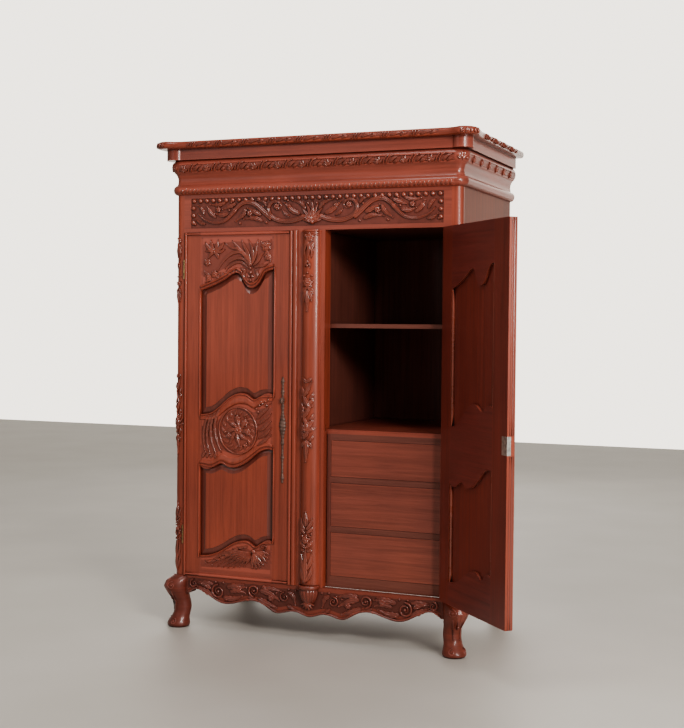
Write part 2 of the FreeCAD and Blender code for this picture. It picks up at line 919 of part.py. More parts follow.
class Door:
    """One door, drawn about its hinge pin: along the door from the pin, depth from the pin, height."""

    def __init__(self, name, side):
        self.name = name
        self.way = -side
        turn = size["door_open_angle"] if side > 0 else 0
        self.frame = FreeCAD.Placement(
            vector(side * HINGE_X, HINGE_Y),
            FreeCAD.Rotation(vector(0, 0, 1), turn),
        )
        self.face = size["pin_forward"]
        self.edge = size["hinge_gap"]

    def x(self, along):
        """Distance from the hinge edge of the door, as an x about the pin."""
        return self.way * (self.edge + along)

    def label(self, piece):
        return "%s_%s" % (self.name, piece)

    def outline(self, lower, upper, start, rise_low=0, rise_high=0, ears=0):
        """Edges between two height curves, or a curve and a level.

        With ears, both curves run on level past each side, into the grooves of the stiles.
        """
        edges = []
        corners = []
        for curve, rise in ((lower, rise_low), (upper, rise_high)):
            points = [(self.x(start + u), z + rise) for u, z in curve]
            edges.append(line(*points) if len(points) == 2 else spline(points))
            first, last = points[0], points[-1]
            if ears:
                first = (first[0] - self.way * ears, first[1])
                last = (last[0] + self.way * ears, last[1])
                edges += [line(points[0], first), line(points[-1], last)]
            corners.append((first, last))
        for low, high in zip(*corners):
            edges.append(line(low, high))
        return edges

    def half_round(self, start, end):
        """The section of a bead that stands on the door's face, seen from above."""
        return [
            line((self.x(start), self.face), (self.x(end), self.face)),
            arc(
                (self.x(start), self.face),
                (self.x((start + end) / 2), self.face - size["bead_rise"]),
                (self.x(end), self.face),
            ),
        ]

    def stile(self, piece, start, width, beads, mortises):
        """A full-height stile with rounded beads at its outer edge and a groove for the panels."""
        body = new_body(self.label(piece), self.frame)
        low, high = size["door_low"], size["door_high"]
        shape = rectangle(self.x(start), low, self.x(start + size[width]), high)
        blank = sketch(body, self.label(piece) + "_outline", "XZ_Plane", shape, -self.face)
        pad(body, blank, "door_thickness", True)
        for n, (bead_start, bead_end) in enumerate(beads):
            name = "%s_bead_%d" % (self.label(piece), n)
            section = sketch(body, name, "XY_Plane", self.half_round(bead_start, bead_end), low)
            pad(body, section, "door_high - door_low")
        inner = start + size[width] if start == 0 else start
        tongue = -size["panel_tongue"] if start == 0 else size["panel_tongue"]
        groove = rectangle(self.x(inner), low, self.x(inner + tongue), high)
        depth = self.face + size["door_thickness"] / 2
        seat = sketch(body, self.label(piece) + "_groove", "XZ_Plane", groove, -depth)
        pocket(body, seat, "panel_thickness", middle=True)
        for n, (edges, offset, length) in enumerate(mortises):
            name = "%s_mortise_%d" % (self.label(piece), n)
            seat = sketch(body, name, "XY_Plane", edges, offset)
            pocket(body, seat, length)
        return body

    def hinge_stile(self):
        deep = self.face + size["leaf_depth"]
        leaf = rectangle(self.x(0), self.face, self.x(size["leaf_thickness"]), deep)
        half = size["hinge_length"] / 2
        mortises = [(leaf, height - half, "hinge_length") for height in HINGE_HEIGHTS]
        bead = (size["hinge_edge_flat"], size["door_bead_width"])
        self.stile("hinge_stile", 0, "hinge_stile_width", [bead], mortises)

    def lock_stile(self):
        start = size["door_width"] - size["lock_stile_width"]
        back = self.face + size["door_thickness"]
        seat = rectangle(
            self.x(size["door_width"] - size["lock_case_width"]),
            back - size["lock_case_depth"],
            self.x(size["door_width"]),
            back,
        )
        low = size["lock_height"] - size["lock_case_height"] / 2
        first = size["door_width"] - size["closing_bead_width"]
        second = first + size["inner_closing_bead"]
        last = size["door_width"] - size["hinge_edge_flat"]
        self.stile(
            "lock_stile",
            start,
            "lock_stile_width",
            [(first, second), (second, last)],
            [(seat, low, "lock_case_height")],
        )

    def rail(self, piece, lower, upper, grooves, bead=None):
        """A rail between the stiles, its shaped edges grooved for the panels."""
        start = size["hinge_stile_width"]
        body = new_body(self.label(piece), self.frame)
        edges = self.outline(lower, upper, start)
        blank = sketch(body, self.label(piece) + "_outline", "XZ_Plane", edges, -self.face)
        pad(body, blank, "door_thickness", True)
        if bead:
            low, high = bead
            # the YZ plane's sketch is (depth, height), and the pad runs towards the lock stile
            section = [
                line((self.face, low), (self.face, high)),
                arc(
                    (self.face, low),
                    (self.face - size["bead_rise"], (low + high) / 2),
                    (self.face, high),
                ),
            ]
            name = self.label(piece) + "_bead"
            profile = sketch(body, name, "YZ_Plane", section, self.x(start))
            run = "door_width - hinge_stile_width - lock_stile_width"
            pad(body, profile, run, towards_back=self.way < 0)
        depth = self.face + size["door_thickness"] / 2
        for n, (curve, tongue) in enumerate(grooves):
            edges = self.outline(curve, curve, start, 0, tongue)
            name = "%s_groove_%d" % (self.label(piece), n)
            seat = sketch(body, name, "XZ_Plane", edges, -depth)
            pocket(body, seat, "panel_thickness", middle=True)
        return body

    def opening(self):
        """Clear width between the stiles."""
        return size["door_width"] - size["hinge_stile_width"] - size["lock_stile_width"]

    def level(self, height):
        return [(0, height), (self.opening(), height)]

    def rails(self):
        low, high = size["door_low"], size["door_high"]
        bead, tongue = size["door_bead_width"], size["panel_tongue"]
        self.rail(
            "bottom_rail", self.level(low), BOTTOM_CURVE, [(BOTTOM_CURVE, -tongue)], (low, low + bead)
        )
        self.rail(
            "middle_rail",
            MIDDLE_LOWER_CURVE,
            MIDDLE_UPPER_CURVE,
            [(MIDDLE_LOWER_CURVE, tongue), (MIDDLE_UPPER_CURVE, -tongue)],
        )
        self.rail("top_rail", TOP_CURVE, self.level(high), [(TOP_CURVE, tongue)], (high - bead, high))

    def panel(self, piece, lower, upper):
        """A thin panel with a raised field; its rim sits in the grooves round it."""
        start = size["hinge_stile_width"]
        body = new_body(self.label(piece), self.frame)
        tongue = size["panel_tongue"] - size["panel_slack"]
        wide = self.opening()

        def inset(curve, margin, rise):
            """The curve moved up or down, and cut off short of the opening's sides."""
            inner = [(u, z) for u, z in curve if margin < u < wide - margin]
            ends = [(u, height_at(curve, u)) for u in (margin, wide - margin)]
            return [(u, z + rise) for u, z in [ends[0], *inner, ends[1]]]

        depth = self.face + size["door_thickness"] / 2
        edges = self.outline(lower, upper, start, -tongue, tongue, tongue)
        blank = sketch(body, self.label(piece) + "_outline", "XZ_Plane", edges, -depth)
        pad(body, blank, "panel_thickness - 1", middle=True)
        margin = size["field_margin"]
        edges = self.outline(inset(lower, margin, margin), inset(upper, margin, -margin), start)
        front = depth - (size["panel_thickness"] - 1) / 2
        field = sketch(body, self.label(piece) + "_field", "XZ_Plane", edges, -front)
        pad(body, field, "field_rise")
        return body

    def escutcheon(self):
        """A long shaped plate with a small pull, standing on the lock stile's face."""
        bead, inset = size["closing_bead_width"], size["escutcheon_inset"]
        middle = self.x(size["door_width"] - bead - inset)
        halves = [(size["escutcheon_low"] + z, half) for z, half in ESCUTCHEON_HALVES]
        rise = [(middle + half, z) for z, half in halves]
        fall = [(middle - half, z) for z, half in reversed(halves)]
        edges = [spline(rise), line(rise[-1], fall[0]), spline(fall), line(fall[-1], rise[0])]
        body = new_body(self.label("escutcheon"), self.frame)
        plate = sketch(body, self.label("escutcheon_outline"), "XZ_Plane", edges, -self.face)
        pad(body, plate, "escutcheon_thickness")
        hole = [full_circle(middle, size["lock_height"], size["keyhole_radius"])]
        keyhole = sketch(body, self.label("keyhole"), "XZ_Plane", hole, -self.face)
        pocket(body, keyhole, "escutcheon_thickness * 2", middle=True)
        disc = [full_circle(middle, size["knob_height"], size["knob_radius"])]
        pull = sketch(body, self.label("pull"), "XZ_Plane", disc, -self.face)
        pad(body, pull, "escutcheon_thickness + knob_reach")
        return body

    def lock(self):
        """The lock's case, let into the stile, and the bolt that slides out of it."""
        back = self.face + size["door_thickness"]
        middle = size["lock_height"]
        width, deep = size["lock_case_width"], size["lock_case_depth"]
        x0 = self.x(size["door_width"] - width)
        x1 = self.x(size["door_width"])
        case = box(
            self.label("lock_case_blank"),
            (min(x0, x1), back - deep, middle - size["lock_case_height"] / 2),
            "lock_case_width",
            "lock_case_depth",
            "lock_case_height",
            self.frame,
        )
        play, spare = size["bolt_play"], size["channel_spare"]
        bolt_length = width - size["bolt_set_in"]
        y = back - deep / 2 - size["bolt_thickness"] / 2
        z = middle - size["bolt_height"] / 2
        channel = doc.addObject("Part::Box", self.label("bolt_channel"))
        channel.Length = bolt_length + spare
        channel.Width = size["bolt_thickness"] + 2 * play
        channel.Height = size["bolt_height"] + 2 * play
        start = self.x(size["door_width"] - bolt_length - spare)
        corner = vector(min(start, x1), y - play, z - play)
        channel.Placement = self.frame.multiply(FreeCAD.Placement(corner, FreeCAD.Rotation()))
        cut(self.label("lock_case"), case, [channel])
        bolt = doc.addObject("Part::Box", self.label("lock_bolt"))
        bolt.Length = bolt_length
        bind(bolt, Width="bolt_thickness", Height="bolt_height")
        end = size["door_width"] - size["bolt_recess"]
        start, end = self.x(end - bolt_length), self.x(end)
        corner = vector(min(start, end), y, z)
        bolt.Placement = self.frame.multiply(FreeCAD.Placement(corner, FreeCAD.Rotation()))
        keep(bolt, self.label("lock_bolt"))

    def hinge_leaves(self):
        leaves = [
            hinge_leaf(
                "%s_hinge_leaf_%d" % (self.name, n),
                self.frame,
                self.x(0),
                self.way,
                height,
                range(1, KNUCKLES, 2),
                size["pin_radius"] + size["pin_clearance"],
            )
            for n, height in enumerate(HINGE_HEIGHTS)
        ]
        group(self.label("hinge_leaves"), leaves)

    def build(self):
        self.hinge_stile()
        self.lock_stile()
        self.rails()
        self.panel("lower_panel", BOTTOM_CURVE, MIDDLE_LOWER_CURVE)
        self.panel("upper_panel", MIDDLE_UPPER_CURVE, TOP_CURVE)
        self.escutcheon()
        self.lock()
        self.hinge_leaves()


def hinge_leaf(name, frame, start, way, height, knuckles, bore):
    """One leaf of a butt hinge: a plate, and every other knuckle round the pin."""
    length = size["hinge_length"]
    low = height - length / 2
    step = length / KNUCKLES
    gap = size["knuckle_clearance"]
    plate = Part.makeBox(
        size["leaf_thickness"],
        size["pin_forward"] + size["leaf_depth"],
        length,
        vector(min(start, start + way * size["leaf_thickness"]), 0, low),
    )
    solid = plate
    for n in range(KNUCKLES):
        bottom = vector(0, 0, low + n * step)
        if n in knuckles:
            barrel = Part.makeCylinder(size["knuckle_radius"], step, bottom)
            solid = solid.fuse(barrel)
        else:
            room = size["knuckle_radius"] + gap
            solid = solid.cut(Part.makeCylinder(room, step, bottom))
    for n in knuckles:
        # a hair of clearance above and below each knuckle that turns against another
        for z in (low + n * step, low + (n + 1) * step - gap):
            solid = solid.cut(Part.makeCylinder(size["knuckle_radius"] + gap, gap, vector(0, 0, z)))
    solid = solid.cut(Part.makeCylinder(bore, length + 2, vector(0, 0, low - 1)))
    thing = doc.addObject("Part::Feature", name)
    thing.Shape = solid.removeSplitter()
    thing.Placement = frame
    return thing


def fixed_hinge_parts():
    """The leaves screwed to the corner posts, and the pins pressed into their knuckles."""
    leaves = []
    pins = []
    for side, name in ((-1, "left"), (1, "right")):
        frame = FreeCAD.Placement(vector(side * HINGE_X, HINGE_Y), FreeCAD.Rotation())
        for n, height in enumerate(HINGE_HEIGHTS):
            leaves.append(
                hinge_leaf(
                    "frame_leaf_%s_%d" % (name, n),
                    frame,
                    side * size["hinge_gap"],
                    side,
                    height,
                    range(0, KNUCKLES, 2),
                    size["pin_radius"],
                )
            )
            bottom = (0, 0, height - size["hinge_length"] / 2)
            pins.append(
                cylinder("pin_%s_%d" % (name, n), bottom, "pin_radius", "hinge_length", frame=frame)
            )
    group("frame_hinge_leaves", leaves)
    group("hinge_pins", pins)


# ------------------------------------------------------------------ build

front_post("front_post_left", -1)
front_post("front_post_right", 1)
carcass_panels()
frieze()
centre_post()
pilaster()
aprons()
keep(leg("leg_front_left", -1, -1), "leg_front_left")
keep(leg("leg_front_right", 1, -1), "leg_front_right")
group("rear_legs", [leg("leg_rear_left", -1, 1), leg("leg_rear_right", 1, 1)])
crown()
interior()
drawer_case()
openings = (size["drawer_height"], size["drawer_height"], size["top_drawer_height"])
for name, level, opening in zip(
    ("bottom_drawer", "middle_drawer", "top_drawer"), drawer_levels(), openings
):
    drawer(name, level, opening)
hanging_rail()
Door("left_door", -1).build()
Door("right_door", 1).build()
fixed_hinge_parts()
doc.recompute()

for thing in doc.Objects:
    if "Invalid" in thing.State or "Error" in thing.State:
        raise RuntimeError("%s did not build: %s" % (thing.Label, thing.State))
os.makedirs("parts", exist_ok=True)
for old in os.listdir("parts"):
    os.remove(os.path.join("parts", old))
for thing in parts:
    shape = thing.Shape
    if shape.isNull() or not shape.isValid() or shape.Volume <= 0:
        raise RuntimeError("%s has no valid solid" % thing.Label)
    shape.exportStep(os.path.join("parts", thing.Label + ".step"))
print("%d nodes" % len(parts))
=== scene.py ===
import json
import math

import bmesh
import bpy
from mathutils import Matrix, Vector


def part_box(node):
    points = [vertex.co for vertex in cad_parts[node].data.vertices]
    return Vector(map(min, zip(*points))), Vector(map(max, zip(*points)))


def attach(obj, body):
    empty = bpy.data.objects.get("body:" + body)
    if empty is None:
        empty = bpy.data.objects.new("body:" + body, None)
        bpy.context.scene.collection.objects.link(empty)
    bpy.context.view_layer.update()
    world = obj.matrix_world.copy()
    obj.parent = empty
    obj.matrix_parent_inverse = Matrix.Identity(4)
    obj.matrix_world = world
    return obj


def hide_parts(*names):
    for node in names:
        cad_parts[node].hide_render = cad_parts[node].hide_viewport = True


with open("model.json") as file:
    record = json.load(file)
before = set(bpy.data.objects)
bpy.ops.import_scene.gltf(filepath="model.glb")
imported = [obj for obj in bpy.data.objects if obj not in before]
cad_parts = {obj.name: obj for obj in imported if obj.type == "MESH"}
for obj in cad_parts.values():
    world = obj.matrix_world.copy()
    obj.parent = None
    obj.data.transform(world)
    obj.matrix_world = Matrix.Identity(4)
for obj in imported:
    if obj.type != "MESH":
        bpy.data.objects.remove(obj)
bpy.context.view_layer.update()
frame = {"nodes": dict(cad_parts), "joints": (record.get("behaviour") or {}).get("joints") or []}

# A carved mahogany armoire. Metres, in the frame of the CAD part: +Z up, front towards -Y.
# Carving is drawn on flat sheets as (across, up, out) and laid on the furniture's faces.

MM = 0.001
POST_RADIUS = 27 * MM
TORUS_DEPTH = 12 * MM
SINK = 1.2 * MM  # how deep the rim of a carved shape is buried in its ground

joints = {joint["name"]: joint for joint in frame["joints"]}
nodes = frame["nodes"]
post_low, post_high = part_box("front_post_right")
frieze_low, frieze_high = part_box("frieze_panel")
apron_low, apron_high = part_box("front_apron")
torus_low, torus_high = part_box("crown_carved_torus")
moulding_low, moulding_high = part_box("crown_lower_moulding")
top_low, top_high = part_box("top_board")
shaft_low, shaft_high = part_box("pilaster")
drop_low, drop_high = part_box("pilaster_drop")
stile_low, stile_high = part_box("left_door_hinge_stile")
lock_low, lock_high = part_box("left_door_lock_stile")
plate_low, plate_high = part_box("left_door_escutcheon")
case_low, case_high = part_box("left_door_lock_case")

FRONT = post_low.y
SIDE = post_high.x
REAR = -FRONT
SHUT = joints["left_door_hinge"]["pos_m"]
OPEN_ANGLE = math.radians(-joints["right_door_hinge"]["range_deg"][0])
HINGE_EDGE = stile_low.x
OPENING_START = stile_high.x - HINGE_EDGE
OPENING = lock_low.x - stile_high.x
PANEL_BACK = -19 * MM

# Edges of the door's rails: distance from the hinge stile, height. Millimetres.
TOP_CURVE = [
    (0, 1470), (48, 1487), (98, 1508), (145, 1536), (172, 1545), (196, 1530),
    (212, 1499), (237, 1480), (266, 1490), (288, 1519), (306, 1545), (348, 1558),
]
MIDDLE_UPPER_CURVE = [
    (0, 936), (52, 945), (90, 970), (134, 1008), (180, 1030),
    (224, 1027), (258, 1008), (290, 1022), (348, 1027),
]
MIDDLE_LOWER_CURVE = [
    (0, 712), (55, 706), (102, 726), (132, 714), (165, 711),
    (204, 725), (250, 757), (286, 785), (318, 796), (348, 794),
]
BOTTOM_CURVE = [
    (0, 322), (56, 330), (108, 353), (160, 385), (206, 400),
    (240, 396), (268, 379), (300, 397), (348, 405),
]
APRON_WAVE = [
    (-578, 152), (-535, 172), (-480, 152), (-410, 121), (-345, 128), (-275, 145),
    (-215, 134), (-150, 103), (-105, 112), (-60, 116), (0, 101),
]
LEG_SECTIONS = [
    (0, 19, 42), (10, 20, 49), (32, 17, 44), (66, 8, 37), (110, 8, 37),
    (148, 20, 45), (180, 27, 51), (206, 20, 49), (230, 4, 36),
]


def metres(points):
    return [tuple(value * MM for value in point) for point in points]


def mirrored(points):
    return points + [(-x, z) for x, z in reversed(points[:-1])]


def smooth(points, steps=6):
    """A Catmull-Rom curve through (across, up) points."""
    knots = [Vector(p) for p in points]
    knots = [2 * knots[0] - knots[1], *knots, 2 * knots[-1] - knots[-2]]
    curve = []
    for a, b, c, d in zip(knots, knots[1:], knots[2:], knots[3:]):
        for n in range(steps):
            t = n / steps
            curve.append(
                0.5
                * (
                    2 * b
                    + (c - a) * t
                    + (2 * a - 5 * b + 4 * c - d) * t * t
                    + (3 * b - a - 3 * c + d) * t**3
                )
            )
    curve.append(knots[-2])
    return curve


def height_on(curve, across):
    """Height of a smooth curve at a distance across; the ends run on level."""
    if across <= curve[0][0]:
        return curve[0][1]
    for a, b in zip(curve, curve[1:]):
        if a[0] <= across <= b[0]:
            return a[1] + (b[1] - a[1]) * (across - a[0]) / max(b[0] - a[0], 1e-9)
    return curve[-1][1]


# ------------------------------------------------------------------- materials


class Nodes:
    """A material's node tree, with short calls to add and link nodes."""

    def __init__(self, name):
        self.material = bpy.data.materials.new(name)
        self.material.use_nodes = True
        self.tree = self.material.node_tree
        self.shader = self.tree.nodes["Principled BSDF"]

    def add(self, kind, **settings):
        node = self.tree.nodes.new("ShaderNode" + kind)
        for key, value in settings.items():
            if hasattr(node, key):
                setattr(node, key, value)
            else:
                node.inputs[key.replace("_", " ").title()].default_value = value
        return node

    def link(self, source, target):
        self.tree.links.new(source, target)

    def noise(self, vector, scale, detail=4.0, distortion=0.0):
        node = self.add("TexNoise", Scale=scale, Detail=detail, Distortion=distortion)
        self.link(vector, node.inputs["Vector"])
        return node.outputs["Fac"]

    def ramp(self, value, stops):
        node = self.add("ValToRGB")
        elements = node.color_ramp.elements
        while len(elements) < len(stops):
            elements.new(0.5)
        for element, (position, colour) in zip(elements, stops):
            element.position = position
            element.color = (*colour, 1)
        self.link(value, node.inputs["Fac"])
        return node.outputs["Color"]

    def mix(self, blend, share, first, second):
        node = self.add("Mix", data_type="RGBA", blend_type=blend)
        for socket, value in ((0, share), (6, first), (7, second)):
            if isinstance(value, bpy.types.NodeSocket):
                self.link(value, node.inputs[socket])
            else:
                node.inputs[socket].default_value = value
        return node.outputs[2]

    def span(self, value, low, high, start=0.0, end=1.0):
        node = self.add("MapRange")
        for key, number in (("From Min", start), ("From Max", end), ("To Min", low), ("To Max", high)):
            node.inputs[key].default_value = number
        self.link(value, node.inputs["Value"])
        return node.outputs["Result"]


def shade(colour, factor):
    return tuple(channel * factor for channel in colour)


def wood(name, colour, grain, roughness=0.34, crevice=0.6, gloss=0.4, stipple=0.0, back=None):
    """Stained wood: streaks along the grain, fine pores, a broad tone change, worn edges, painted shade in creases and
    recesses (with patina in the carving's hollows), and painted shade on faces turned along back.
    """
    made = Nodes(name)
    place = made.add("TexCoord").outputs["Object"]
    stretch = made.add("Mapping")
    stretch.inputs["Scale"].default_value = grain
    made.link(place, stretch.inputs["Vector"])
    along = stretch.outputs["Vector"]
    figure = made.noise(along, 1.0, 6.0, 0.9)
    pores = made.noise(along, 7.0, 3.0)
    tone = made.noise(place, 2.2, 2.0)
    stops = [(0.28, shade(colour, 0.76)), (0.5, colour), (0.74, shade(colour, 1.2))]
    base = made.ramp(figure, stops)
    dim = made.ramp(pores, [(0.3, (0.72, 0.68, 0.66)), (0.52, (1.0, 1.0, 1.0))])
    base = made.mix("MULTIPLY", 0.5, base, dim)
    patches = made.ramp(tone, [(0.3, (0.78, 0.76, 0.8)), (0.7, (1.16, 1.12, 1.04))])
    base = made.mix("MULTIPLY", 0.8, base, patches)
    # painted shade: faces turned along back (the doors' inner faces, rear faces) are darkened
    if back:
        facing = made.add("VectorMath", operation="DOT_PRODUCT")
        facing.inputs[1].default_value = back
        made.link(made.add("TexCoord").outputs["Normal"], facing.inputs[0])
        turned = made.ramp(facing.outputs["Value"], [(0.6, (1.0, 1.0, 1.0)), (0.85, BACK_PAINTED_SHADE)])
        base = made.mix("MULTIPLY", 1.0, base, turned)
    # painted shade in creases and recesses within 14 mm, standing in also for patina in the carving's hollows
    depth = made.add("AmbientOcclusion", samples=6)
    depth.inputs["Distance"].default_value = 14 * MM
    crevice_shade_and_patina = made.ramp(depth.outputs["AO"], [(0.3, (0.12, 0.09, 0.1)), (0.9, (1.0, 1.0, 1.0))])
    base = made.mix("MULTIPLY", crevice, base, crevice_shade_and_patina)
    edge = made.add("AmbientOcclusion", samples=4, inside=True)
    edge.inputs["Distance"].default_value = 2.5 * MM
    wear = made.ramp(edge.outputs["AO"], [(0.35, (0.5, 0.5, 0.5)), (0.75, (0.0, 0.0, 0.0))])
    base = made.mix("MIX", wear, base, (*shade(colour, 1.6), 1))
    made.link(base, made.shader.inputs["Base Color"])
    made.link(made.span(figure, roughness - 0.07, roughness + 0.1), made.shader.inputs["Roughness"])
    bump = made.add("Bump")
    bump.inputs["Strength"].default_value = 0.12
    bump.inputs["Distance"].default_value = 0.5 * MM
    made.link(pores, bump.inputs["Height"])
    if stipple:
        punched = made.add("Bump")
        punched.inputs["Strength"].default_value = stipple
        punched.inputs["Distance"].default_value = 1.5 * MM
        made.link(made.noise(place, 260.0, 2.0), punched.inputs["Height"])
        made.link(bump.outputs["Normal"], punched.inputs["Normal"])
        bump = punched
    made.link(bump.outputs["Normal"], made.shader.inputs["Normal"])
    made.shader.inputs["Specular IOR Level"].default_value = gloss
    made.shader.inputs["Coat Weight"].default_value = gloss * 0.8
    made.shader.inputs["Coat Roughness"].default_value = 0.13
    return made.material


def metal(name, colour, roughness, metallic=1.0):
    """Metal with a mottled tarnish and fine scratches."""
    made = Nodes(name)
    place = made.add("TexCoord").outputs["Object"]
    mottle = made.noise(place, 60.0, 5.0)
    scratch = made.noise(place, 420.0, 2.0)
    base = made.ramp(mottle, [(0.32, shade(colour, 0.55)), (0.68, shade(colour, 1.25))])
    made.link(base, made.shader.inputs["Base Color"])
    made.link(made.span(mottle, roughness + 0.12, roughness - 0.08), made.shader.inputs["Roughness"])
    bump = made.add("Bump")
    bump.inputs["Strength"].default_value = 0.15
    bump.inputs["Distance"].default_value = 0.2 * MM
    made.link(scratch, bump.inputs["Height"])
    made.link(bump.outputs["Normal"], made.shader.inputs["Normal"])
    made.shader.inputs["Metallic"].default_value = metallic
    return made.material


MAHOGANY = (0.285, 0.064, 0.037)
# Directions of the faces that get painted shade: the back for the shut doors and carcass, the inner face for the open
# door
SHUT_BACK = (0.0, 1.0, 0.0)
OPEN_BACK = (-math.sin(OPEN_ANGLE), math.cos(OPEN_ANGLE), 0.0)
# Tint of the painted shade on faces turned towards the back
BACK_PAINTED_SHADE = (0.62, 0.52, 0.62)
UPRIGHT = (62, 62, 1.7)
LEVEL = (1.9, 1.9, 66)
upright_wood = wood("mahogany_upright", MAHOGANY, UPRIGHT, back=SHUT_BACK)
level_wood = wood("mahogany_level", (0.275, 0.068, 0.045), LEVEL, back=SHUT_BACK)
open_upright = wood("open_door_upright", MAHOGANY, UPRIGHT, back=OPEN_BACK)
open_level = wood("open_door_level", (0.275, 0.068, 0.045), LEVEL, back=OPEN_BACK)
top_wood = wood("mahogany_top", MAHOGANY, (1.9, 60, 60))
# a darker copy of the mahogany: painted shade on the panels' sloping bevels and in the grooves of the doors' beaded
# edges
shaded_bevel_wood = wood("mahogany_bevel_painted_shade", (0.17, 0.045, 0.032), UPRIGHT, 0.3, 0.8, 0.5)
carved_wood = wood("mahogany_carved", shade(MAHOGANY, 0.84), (9, 9, 9), 0.27, 1.0, 0.7)
# darker punched ground behind the carving: painted shade between the carved parts
shaded_ground_wood = wood("carved_ground_painted_shade", (0.17, 0.042, 0.028), (9, 9, 9), 0.42, 1.0, 0.4, 0.8)
# Darker woods for the low parts (apron, legs, pilaster drop), darker still for the apron's ground: painted shade,
# falling off towards the floor and between the carved parts
shaded_low_wood = wood("mahogany_apron_painted_shade", (0.17, 0.04, 0.026), LEVEL, 0.4, 0.8, 0.35)
shaded_drop_wood = wood("mahogany_drop_painted_shade", (0.2, 0.047, 0.03), UPRIGHT, 0.32, 0.9, 0.5)
shaded_low_carved = wood("carved_apron", (0.2, 0.046, 0.03), (9, 9, 9), 0.3, 1.0, 0.6)
shaded_low_ground = wood("carved_apron_ground", (0.09, 0.025, 0.018), (9, 9, 9), 0.45, 1.0, 0.3, 0.8)
inner_wood = wood("interior_upright", (0.16, 0.055, 0.042), UPRIGHT, 0.42, 0.6, 0.25)
inner_level = wood("interior_level", (0.17, 0.06, 0.045), LEVEL, 0.42, 0.6, 0.25)
drawer_wood = wood("drawer_front", (0.24, 0.066, 0.045), LEVEL, 0.36)
# darker, greyer wood for the side panels: painted shade, and the grey of a painted reflection of the pale wall
side_shade_and_reflection_wood = wood("mahogany_side_painted_shade_and_reflection", (0.185, 0.066, 0.046), UPRIGHT, 0.5, 0.6, 0.14)
iron = metal("dark_pewter", (0.15, 0.088, 0.07), 0.5, 0.3)
steel = metal("lock_plate", (0.52, 0.5, 0.47), 0.34)
brass = metal("aged_brass", (0.3, 0.21, 0.11), 0.38)

METALS = {"escutcheon": iron, "lock_case": steel, "lock_bolt": steel, "hinge_leaves": brass, "pins": brass}
INNER_UPRIGHT = ("partition", "back_panel", "drawer_case_sides")
INNER_LEVEL = ("bottom_board", "ceiling_board", "upper_shelf", "drawer_dust_boards", "drawer_box")
LEVEL_WORDS = ("rail", "frieze", "crown", "apron", "counter", "top_board")


def material_for(name):
    for word, material in METALS.items():
        if word in name:
            return material
    if name == "hanging_rail":
        return brass
    if name in INNER_UPRIGHT:
        return inner_wood
    if name.endswith("_box") or name in INNER_LEVEL:
        return inner_level
    if name.endswith("drawer_front"):
        return drawer_wood
    if name.startswith("side_panel"):
        return side_shade_and_reflection_wood
    # the frieze panel is the ground behind the frieze carving: painted shade
    if name == "frieze_panel":
        return shaded_ground_wood
    # legs and apron take the darker low wood: painted shade towards the floor
    if "leg" in name or "apron" in name:
        return shaded_low_wood
    ajar = name.startswith("right_door")
    if any(word in name for word in LEVEL_WORDS):
        return open_level if ajar else level_wood
    return open_upright if ajar else upright_wood


for name, thing in nodes.items():
    thing.data.materials.clear()
    thing.data.materials.append(material_for(name))


# ------------------------------------------------------------------- sheets


def sheet(origin, across, out, bulge=None):
    """Lays a sheet on an upright face; bulge gives the face's own swell at a height."""
    origin, across, out = Vector(origin), Vector(across), Vector(out)

    def lay(s, t, h):
        swell = bulge(t) if bulge else 0.0
        return origin + across * s + Vector((0, 0, t)) + out * (h + swell)

    return lay


def round_sheet(centre_x, centre_y, radius, middle):
    """Lays a sheet round an upright cylinder, from the direction the middle angle faces."""

    def lay(s, t, h):
        angle = middle + s / radius
        reach = radius + h
        return Vector((centre_x + reach * math.cos(angle), centre_y + reach * math.sin(angle), t))

    return lay


def door_sheet(side):
    """Distance from the door's hinge edge, height, and distance out of its front face."""
    pin = Vector((side * abs(SHUT[0]), SHUT[1], 0))
    turn = Matrix.Rotation(OPEN_ANGLE if side > 0 else 0.0, 3, "Z")
    gap = abs(HINGE_EDGE - SHUT[0])
    face = FRONT - SHUT[1]

    def lay(u, z, out):
        return pin + turn @ Vector((-side * (gap + u), face - out, 0)) + Vector((0, 0, z))

    return lay


def opening_sheet(side):
    """As a door's sheet, but the distance starts at the hinge stile's inner edge."""
    lay = door_sheet(side)
    return lambda s, t, h: lay(OPENING_START + s, t, h)


# ------------------------------------------------------------------- carving


